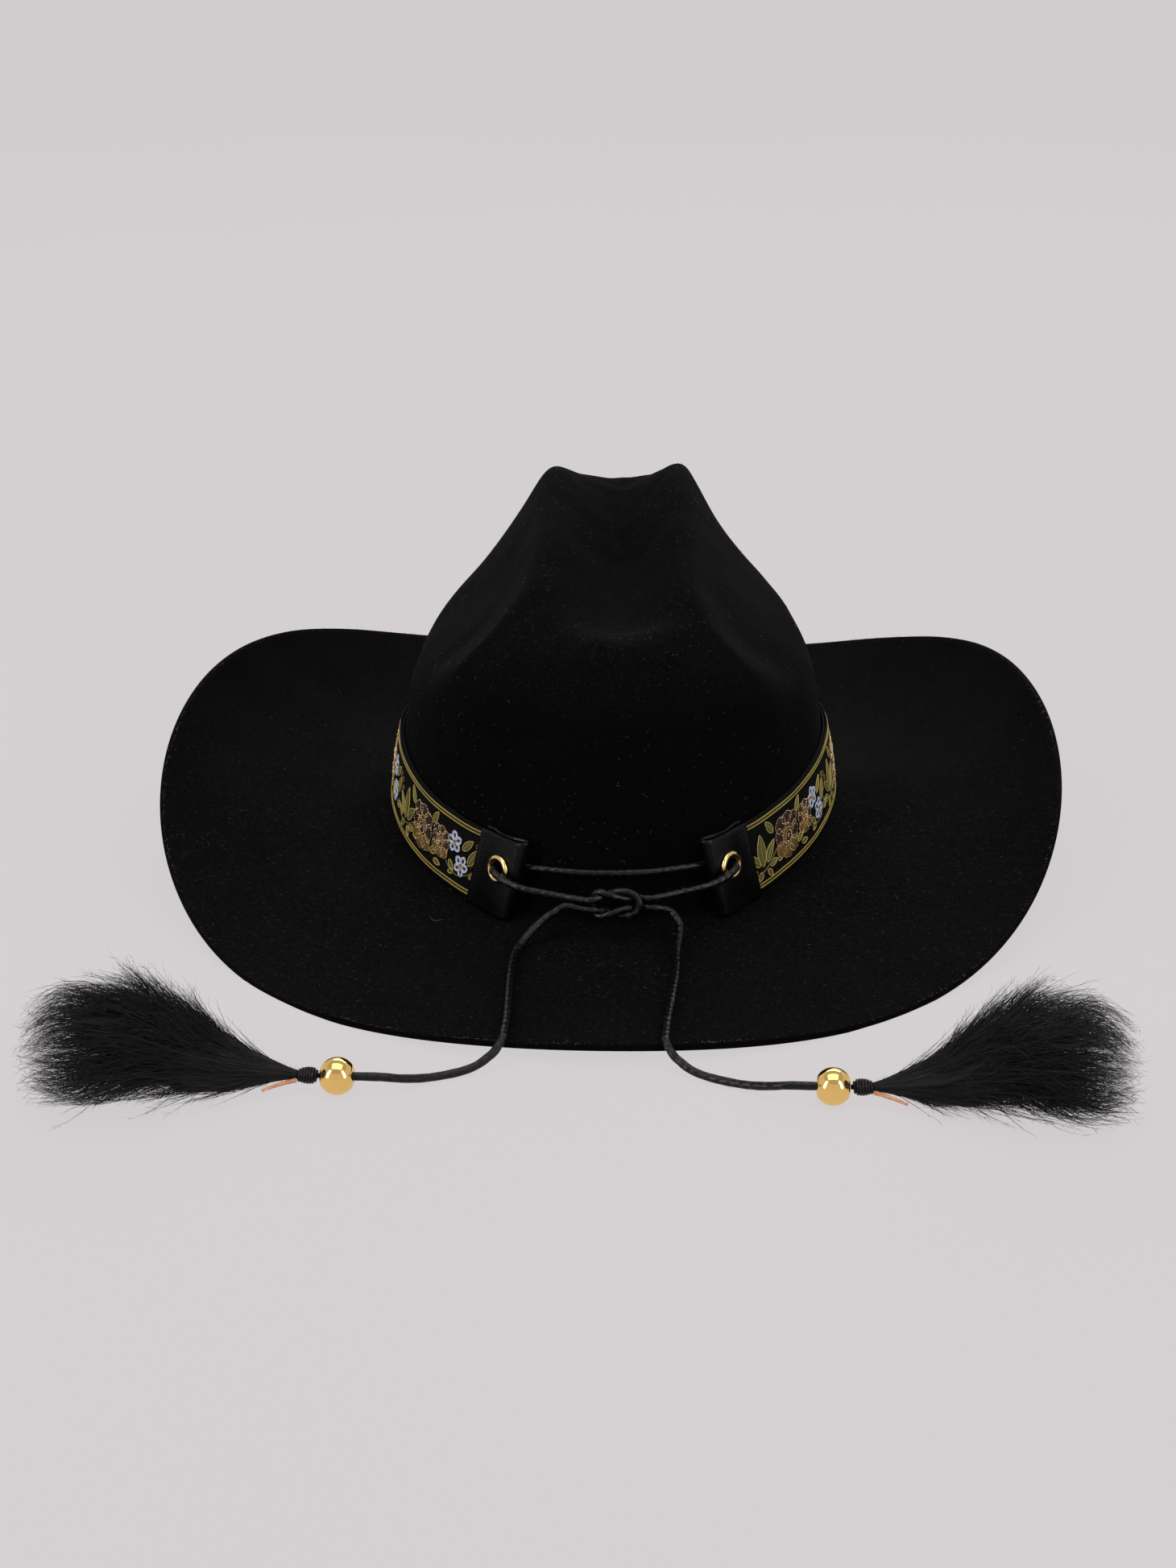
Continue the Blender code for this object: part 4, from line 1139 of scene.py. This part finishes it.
def build_tab(side):
    s = SIDES[side]["s"]
    line = spline([(u, n, 0.0) for u, n in TAB_LINE], 96)
    rows = []
    for p in line:
        row = []
        for q in shares(33):
            h = TAB_LOW + 0.1 + (TAB_HEIGHT - 0.2) * q
            shear = TAB_SLANT * (q - 0.5)
            puff = 0.12 * sin(pi * q)
            row.append(wall(s * (p.x - shear), h, p.y + puff))
        rows.append(row)
    verts, faces = shell(rows, TAB_THICK * 0.96, edge=0.42)
    tab = make("leather_tab_" + side, verts, faces, "leather", "hatband",
               stands_for=["tab_" + side])
    o, axis, cross, up = eyelet_frame(side)
    ring = [o + axis * x + (cross * cos(a) + up * sin(a)) * (EYELET_BORE + 0.85)
            for x in (-7.0, 3.0) for a in circle(40)]
    cutter = make("tab_punch_" + side, ring, grid_faces(2, 40, False, True)
                  + [tuple(range(39, -1, -1)), tuple(range(40, 80))], "leather")
    cut = tab.modifiers.new("punched_hole", "BOOLEAN")
    cut.operation = "DIFFERENCE"
    cut.solver = "EXACT"
    cut.object = cutter
    bpy.context.view_layer.update()
    done = bpy.data.meshes.new_from_object(
        tab.evaluated_get(bpy.context.evaluated_depsgraph_get()))
    tab.modifiers.clear()
    tab.data = done
    bpy.data.objects.remove(cutter, do_unlink=True)

    pile = Pile()
    n0 = next(p.y for p in line if p.x <= 51.6) + TAB_THICK / 2 + 0.06
    for k in range(TAB_STITCHES):
        for column in (0.0, 1.5):
            path = []
            for m in range(6):
                q = (k + 0.18 + 0.12 * m) / TAB_STITCHES
                lift = 0.12 * sin(pi * q) + 0.1 * sin(pi * m / 5)
                path.append(wall(s * (51.4 - column - TAB_SLANT * (q - 0.5)),
                                 TAB_LOW + 0.9 + (TAB_HEIGHT - 1.8) * q, n0 + lift))
            pile.add(*tube(path, 0.17, 6, taper=domed(6)))
    make("tab_stitches_" + side, pile.verts, pile.faces, "grosgrain", "hatband")


def eyelet_frame(side):
    s = SIDES[side]["s"]
    o, along, up, out = wall_frame(s * EYELET_U, EYELET_H, 6.95)
    toward_knot = along * -s
    tilt = atan2(7.80 - 6.10, 44.2 - 38.2)
    axis = (out * cos(tilt) - toward_knot * sin(tilt)).normalized()
    cross = (toward_knot * cos(tilt) + out * sin(tilt)).normalized()
    return o, axis, cross, up


def build_eyelet(side):
    o, axis, _, up = eyelet_frame(side)
    face = TAB_THICK / 2 + 0.1
    b = EYELET_BORE
    profile = [(-1.9, b), (-1.9, b + 0.5), (face, b + 0.5), (face - 0.05, EYELET_OUTER)]
    crown = 14
    for k in range(crown + 1):
        a = pi * k / crown
        r = (EYELET_OUTER + b) / 2 + (EYELET_OUTER - b) / 2 * cos(a)
        profile.append((face + 0.15 + 1.05 * sin(a) ** 0.75, r))
    v, f = lathe(profile, o, axis, up, 72)
    make("brass_ring_" + side, v, f, "brass", "hatband",
         stands_for=["eyelet_" + side])
    back = -TAB_THICK / 2 - 0.4
    washer = [(back, b + 0.8), (back, WASHER_OUTER - 0.1), (back - 0.25, WASHER_OUTER),
              (back - 0.5, WASHER_OUTER - 0.1), (back - 0.5, b + 0.8)]
    v, f = lathe(washer, o, axis, up, 64)
    make("brass_washer_" + side, v, f, "brass", "hatband",
         stands_for=["eyelet_washer_" + side])


# ---------------------------------------------------------------- cords

# Half of each bight of the reef knot, from where it enters to the middle of its loop:
# millimetres along the band, up and out from the middle of the knot.
BIGHTS = {
    "left": [(-12.5, 1.7, 0.2), (-8.2, 1.9, 1.4), (-2.6, 3.3, -1.5), (2.6, 4.6, -0.2),
             (6.8, 3.5, 1.2), (8.5, 0.0, 1.6)],
    "right": [(12.5, 1.7, -0.2), (8.4, 1.7, -1.5), (3.2, 1.8, 0.3), (-2.2, 3.4, 1.5),
              (-6.2, 4.6, 0.3), (-8.2, 2.4, -1.3), (-8.8, 0.0, -1.7)],
}


def knot_bight(side):
    """The loop one cord makes in the reef knot, in over the top and back out below."""
    o, along, up, out = wall_frame(0.0, KNOT_H, KNOT_N)
    half = BIGHTS[side]
    whole = half + [(x, -y, z) for x, y, z in reversed(half[:-1])]
    return [o + along * x + up * y + out * z for x, y, z in whole]


def eased(points, passes, share=None):
    """The same path with its turns softened where share says so and both ends kept."""
    p = np.array([tuple(q) for q in points])
    first = p.copy()
    for _ in range(passes):
        p[1:-1] = 0.25 * p[:-2] + 0.5 * p[1:-1] + 0.25 * p[2:]
    if share is not None:
        w = np.array(share)[:, None]
        p = first * (1 - w) + p * w
    return [Vector(q) for q in p]


def nearest(points, target):
    return min(range(len(points)), key=lambda i: (points[i] - target).length)


def drape_points(side):
    """The cord from the knot down to the brim and back to its edge."""
    info = SIDES[side]
    s = info["s"]
    lift = CORD_R + 0.45
    drop = 1.0 if s < 0 else 2.6
    pts = [wall(s * 15.0, KNOT_H - drop, KNOT_N + 1.0),
           wall(s * 20.0, KNOT_H - 1.6 - drop * 1.6, KNOT_N + 2.2)]
    edge = info["edge_x"]
    for share, off in ((0.30, 1.2), (0.40, 1.8), (0.50, 1.8), (0.70, 0.8), (0.85, 0.0),
                       (0.985, -0.2)):
        p, n = brim_at(edge + s * off, share)
        pts.append(p + n * lift)
    return pts


def swing_point(side):
    pts = drape_points(side)
    d = (pts[-1] - pts[-2]).normalized()
    return pts[-1] + d * (2 * CORD_R + PIECE_GAP)


def tail_points(side):
    """The free end of the cord, from a point just past the brim edge into its bead."""
    info = SIDES[side]
    s = info["s"]
    bx, by = info["bead"]
    start = swing_point(side)
    inner = bx - s * BEAD_TRAVEL_CORD
    pts = [start]
    for along, back, z in TAIL_BEND:
        x = start.x + (inner - start.x) * along
        y = start.y + (by - start.y) * back
        pts.append(Vector((x, y, z)))
    pts.append(Vector((inner, by, BEAD_R)))
    end = bx + s * (BEAD_HALF - 0.5)
    pts += [Vector((inner + (end - inner) * q, by, BEAD_R)) for q in (0.5, 1.0)]
    return pts


def leg_points(side):
    """From the middle of the back span out through the eyelet and in to the knot."""
    s = SIDES[side]["s"]
    o, axis, cross, _ = eyelet_frame(side)
    h = EYELET_H
    pts = [wall(s * u, h + 1.0, 2.2) for u in (-0.8, 13.0, 26.0)]
    pts += [wall(s * 34.0, h + 0.6, 2.1), wall(s * 38.2, h + 0.4, 2.3),
            wall(s * 40.4, h + 0.2, 3.6)]
    pts += [o - axis * 1.2 - cross * 0.1, o + axis * 0.4 - cross * 0.3,
            o + axis * 2.3 - cross * 0.25, o + axis * 4.3 + cross * 1.3]
    pts += [wall(s * 36.8, 17.2, 12.6), wall(s * 30.0, 15.6, 12.8),
            wall(s * 20.0, 14.6, KNOT_N - 0.8)]
    return pts


def build_cords():
    """Each cord runs from the back span through its eyelet, the knot and the brim to its tail."""
    for side in ("left", "right"):
        drape = drape_points(side)
        pts = leg_points(side) + knot_bight(side) + drape + tail_points(side)
        path = eased(spline(pts, 640), 6)
        spans = [(nearest(path, drape[0]), nearest(path, drape[-3])),
                 (nearest(path, swing_point(side)) + 8, nearest(path, tail_points(side)[-3]) - 8)]
        share = [max(smooth((k - a) / 12) * smooth((b - k) / 12) for a, b in spans)
                 for k in range(len(path))]
        path = eased(path, 260, share)
        rng = np.random.default_rng(3 if side == "left" else 4)
        phase = rng.uniform(0, 6, 3)
        taper = [1.0 + 0.022 * sin(k * 0.21 + phase[0]) + 0.016 * sin(k * 0.53 + phase[1])
                 for k in range(len(path))]
        v, f, uv = tube(path, CORD_R, 16, taper=taper, flat=0.03)
        cord = make("lace_cord_" + side, v, f, "cord", None, uv)
        a, b = [tuple((swing_point(side) + Vector((0, CROWN_Y + y, 0))) * MM)
                for y in (1.5, -1.5)]
        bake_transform(cord)
        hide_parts("cord_drape_" + side, "cord_tail_" + side,
                    "cord_knot" if side == "left" else "cord_lace")


# ---------------------------------------------------------------- beads and tassels

def build_bead(side):
    info = SIDES[side]
    bx, by = info["bead"]
    profile = [(-BEAD_HALF + 0.25, BEAD_BORE), (-BEAD_HALF + 0.02, BEAD_BORE + 0.3)]
    steps = 40
    for k in range(steps + 1):
        x = -BEAD_HALF + 2 * BEAD_HALF * k / steps
        r = BEAD_R * sqrt(1.0 - 0.74 * (x / BEAD_HALF) ** 2)
        if k in (0, steps):
            r -= 0.3
        profile.append((x, r))
    profile += [(BEAD_HALF - 0.02, BEAD_BORE + 0.3), (BEAD_HALF - 0.25, BEAD_BORE)]
    v, f = lathe(profile, (bx, by, BEAD_R), (1, 0, 0), (0, 0, 1), 96)
    make("gold_bead_" + side, v, f, "gold", "bead_slider_" + side,
         stands_for=["bead_" + side])


def tassel_pivot(side):
    info = SIDES[side]
    bx, by = info["bead"]
    return Vector((bx + info["s"] * (BEAD_HALF + 0.45 + NECK_R), by, BEAD_R))


def plume_size(info, pivot, q):
    """Centre height, sideways centre and radius of the feather mass a share q along it."""
    grow = smooth(q / 0.66) ** 0.74
    fall = (1.0 - clamp01((q - 0.76) / 0.24) ** 2.0 * 0.42)
    r = 1.6 + (PLUME_R - 1.6) * grow * fall
    floor = 0.35 + 4.3 * (1.0 - smooth(q / 0.30)) + 3.0 * clamp01((q - 0.8) / 0.2)
    cy = pivot.y + (info["plume_y"] - pivot.y) * smooth(q / 0.8)
    return floor + r, cy, r


def unit(v):
    return v / max(np.linalg.norm(v), 1e-6)


def above_floor(p, low):
    return np.array((p[0], p[1], max(p[2], low)))


def build_binding(side, pivot):
    """Cord wound about the neck of a tassel."""
    s = SIDES[side]["s"]
    pile = Pile()
    path = []
    for k in range(WRAPS * 16 + 1):
        q = k / (WRAPS * 16)
        x = -0.64 * NECK_R + 3.12 * NECK_R * q
        r = NECK_R * (0.70 + 0.16 * smooth(q / 0.16)
                      + 0.32 * sin(pi * min(1.0, q * 1.15)) ** 0.7 * smooth(q / 0.2))
        a = 2 * pi * WRAPS * q
        path.append(pivot + Vector((s * x, r * cos(a), r * sin(a))))
    pile.add(*tube(path, 0.52, 8, taper=domed(len(path))))
    core = [pivot + Vector((s * NECK_R * x, 0, 0)) for x in np.linspace(-1.1, 2.6, 9)]
    pile.add(*tube(core, NECK_R * 0.92, 16,
                   taper=[0.42, 0.50, 0.9, 1.06, 1.1, 1.1, 1.06, 0.98, 0.8]))
    make("thread_whipping_" + side, pile.verts, pile.faces, "cord", "tassel_" + side,
         pile.uvs, ["tassel_binding_" + side])


def build_tassel(side):
    info = SIDES[side]
    s = info["s"]
    pivot = tassel_pivot(side)
    build_binding(side, pivot)
    rng = np.random.default_rng(21 if side == "left" else 34)
    start = pivot.x + s * 1.9 * NECK_R
    length = abs(info["tip"] - start)
    pile = Pile()

    def place(q, around, depth):
        cz, cy, r = plume_size(info, pivot, min(q, 1.0))
        return np.array((start + s * length * q, cy + r * depth * cos(around),
                         cz + r * depth * sin(around)))

    def hair(p, d, reach, width):
        """One straight fine spike."""
        d = unit(d)
        across = unit(np.cross(d, rng.normal(size=3)))
        other = np.cross(d, across)
        foot = [p + (across * cos(a) + other * sin(a)) * width for a in circle(3)]
        pile.add(foot + [above_floor(p + d * reach, 0.14)],
                 [(0, 1, 3), (1, 2, 3), (2, 0, 3), (0, 2, 1)])

    # dark heart of the plume, ribbed like packed barbs and fading out before the fringe
    rows, cols = 34, 48
    heart = []
    for k in range(rows):
        q = 0.74 * k / (rows - 1)
        shrink = 0.78 * (1.0 - 0.93 * smooth((q - 0.34) / 0.40))
        for a in circle(cols):
            rib = 1.0 + 0.07 * sin(9 * a + 5 * q) + 0.05 * sin(17 * a - 11 * q)
            heart.append(above_floor(place(q, a, shrink * rib), 0.25))
    ends = [tuple(range(cols - 1, -1, -1)), tuple(range((rows - 1) * cols, rows * cols))]
    pile.add(heart, grid_faces(rows, cols, False, True) + ends)

    ramp = shares(BARB_STEPS)
    for k in range(PLUME_BARBS):
        kind = rng.random()
        around = rng.uniform(0, 2 * pi)
        depth = sqrt(rng.uniform(0.25, 0.90))
        first = rng.uniform(0.0, 0.66) ** 1.1
        last = min(0.97, first + rng.uniform(0.20, 0.46))
        flare = kind < 0.12
        fringe = kind > 0.72
        if flare:
            around = rng.normal(pi / 2, 0.7)
            first = rng.uniform(0.20, 0.52)
            last = first + rng.uniform(0.12, 0.24)
            depth = rng.uniform(0.84, 0.98)
        if fringe:
            first = rng.uniform(0.46, 0.74)
            last = min(0.98, first + rng.uniform(0.20, 0.36))
            depth = sqrt(rng.uniform(0.05, 1.0))
        swirl = rng.normal() * 0.25
        points = []
        for q in ramp:
            d = depth * (0.62 + 0.38 * smooth(q * 1.4)) + (0.18 * q * q if flare else 0.0)
            points.append(place(first + (last - first) * q, around + swirl * q * q, min(d, 1.12)))
        curl = rng.normal(size=3) * np.array((1.4, 2.8, 2.4))
        points = [p + curl * q ** 2.4 for p, q in zip(points, ramp)]
        radius = rng.uniform(0.09, 0.17) if fringe else rng.uniform(0.10, 0.20)
        pile.add(*tube([above_floor(p, 0.12 + radius) for p in points], radius, 3,
                       taper=[1.0 - 0.88 * q ** 1.6 for q in ramp]))
        for _ in range(SIDE_HAIRS):
            i = int(rng.integers(1, BARB_STEPS))
            q = rng.random()
            p = above_floor(points[i - 1] * (1 - q) + points[i] * q, 0.2)
            d = unit(points[i] - points[i - 1])
            sideways = unit(np.cross(d, rng.normal(size=3)))
            hair(p, d + 0.75 * sideways + np.array((0, 0, -0.08)), rng.uniform(1.6, 4.6), 0.045)
    make("feather_barbs_" + side, pile.verts, pile.faces, "feather", "tassel_" + side,
         stands_for=["feather_plume_" + side])

    path = [(start + s * (1.6 + 10.5 * q), pivot.y - 1.6 - 4.6 * q,
             5.2 - 1.6 * q + 0.3 * sin(3.0 * q)) for q in shares(14)]
    v, f, _ = tube(path, 0.78, 14, taper=[1.0 - 0.45 * q for q in shares(14)])
    make("quill_end_" + side, v, f, "quill", "tassel_" + side,
         stands_for=["feather_quill_" + side])


# ---------------------------------------------------------------- studio

FLOOR_R = 3.4                  # metres, as are the other sizes of the studio
SWEEP_R = 1.2
WALL_RISE = 2.6


def build_stage():
    mat = Nodes("studio_sweep", (0.05, 0.049, 0.049), 0.95, shine=0.0)
    mat.ramp(mat.noise(3.0, 2.0), "Fac", [(0.3, (0.044, 0.042, 0.043)),
                                          (0.7, (0.047, 0.045, 0.046))], "Base Color")
    mat.bsdf.inputs["Emission Color"].default_value = (0.658, 0.631, 0.638, 1.0)
    mat.bsdf.inputs["Emission Strength"].default_value = 0.925
    steps = 40
    profile = [(FLOOR_R * q / 8, 0.0) for q in range(1, 9)]
    profile += [(FLOOR_R + SWEEP_R * sin(a), SWEEP_R * (1 - cos(a)))
                for a in [pi / 2 * k / 10 for k in range(1, 11)]]
    profile.append((FLOOR_R + SWEEP_R, SWEEP_R + WALL_RISE))
    verts = [(r * cos(a), r * sin(a), z) for a in circle(steps) for r, z in profile]
    verts.append((0.0, 0.0, 0.0))
    n = len(profile)
    faces = grid_faces(steps, n, True, False)
    faces += [(k * n, ((k + 1) % steps) * n, len(verts) - 1) for k in range(steps)]
    mesh = bpy.data.meshes.new("studio_floor")
    mesh.from_pydata(verts, [], faces)
    mesh.polygons.foreach_set("use_smooth", [True] * len(mesh.polygons))
    mesh.materials.append(mat.mat)
    face_out(mesh)
    floor = bpy.data.objects.new("studio_floor", mesh)
    bpy.context.scene.collection.objects.link(floor)

    world = bpy.data.worlds.new("studio_world")
    world.use_nodes = True
    back = world.node_tree.nodes["Background"]
    back.inputs["Color"].default_value = (1.0, 0.985, 0.97, 1.0)
    back.inputs["Strength"].default_value = 0.45
    bpy.context.scene.world = world

    def softbox(name, place, aim, width, height, power):
        light = bpy.data.lights.new(name, "AREA")
        light.shape = "RECTANGLE"
        light.size = width
        light.size_y = height
        light.energy = power
        light.color = (1.0, 0.99, 0.975)
        obj = bpy.data.objects.new(name, light)
        obj.location = place
        d = Vector(aim) - Vector(place)
        obj.rotation_euler = d.to_track_quat("-Z", "Y").to_euler()
        bpy.context.scene.collection.objects.link(obj)

    softbox("top_box", (0.0, -0.15, 1.5), (0, 0, 0), 1.5, 1.1, 9.0)
    softbox("left_strip", (-1.15, -0.95, 0.75), (0, -0.05, 0.05), 0.35, 1.2, 9.0)
    softbox("right_strip", (1.15, -0.95, 0.75), (0, -0.05, 0.05), 0.35, 1.2, 8.0)
    softbox("rear_box", (0.1, 1.5, 1.1), (0, 0, 0.1), 1.6, 0.6, 8.0)


CAMERA_YAW = 3.1
CAMERA_LIFT = 21.49
CAMERA_ROLL = -0.19
CAMERA_DISTANCE = 1.00231


def build_camera():
    yaw = radians(CAMERA_YAW)
    lift = radians(CAMERA_LIFT)
    target = Vector((0.0, CROWN_Y * MM, 0.0426))
    back = Vector((sin(yaw) * cos(lift), -cos(yaw) * cos(lift), sin(lift)))
    cam = bpy.data.cameras.new("camera")
    cam.sensor_width = 36.0
    cam.lens = 57.332
    cam.shift_x = -0.016425
    cam.shift_y = -0.037761
    obj = bpy.data.objects.new("camera", cam)
    obj.location = target + back * CAMERA_DISTANCE
    aim = back.to_track_quat("Z", "Y").to_matrix().to_4x4()
    roll = Matrix.Rotation(radians(CAMERA_ROLL), 4, "Z")
    obj.rotation_euler = (aim @ roll).to_euler()
    bpy.context.scene.collection.objects.link(obj)
    bpy.context.scene.camera = obj


def main():
    build_felt()
    build_inside()
    build_band()
    build_cords()
    for side in ("left", "right"):
        build_tab(side)
        build_eyelet(side)
        build_bead(side)
        build_tassel(side)
    build_stage()
    build_camera()
    bpy.context.scene.view_settings.view_transform = "Standard"
    bpy.context.scene.view_settings.look = "None"


main()
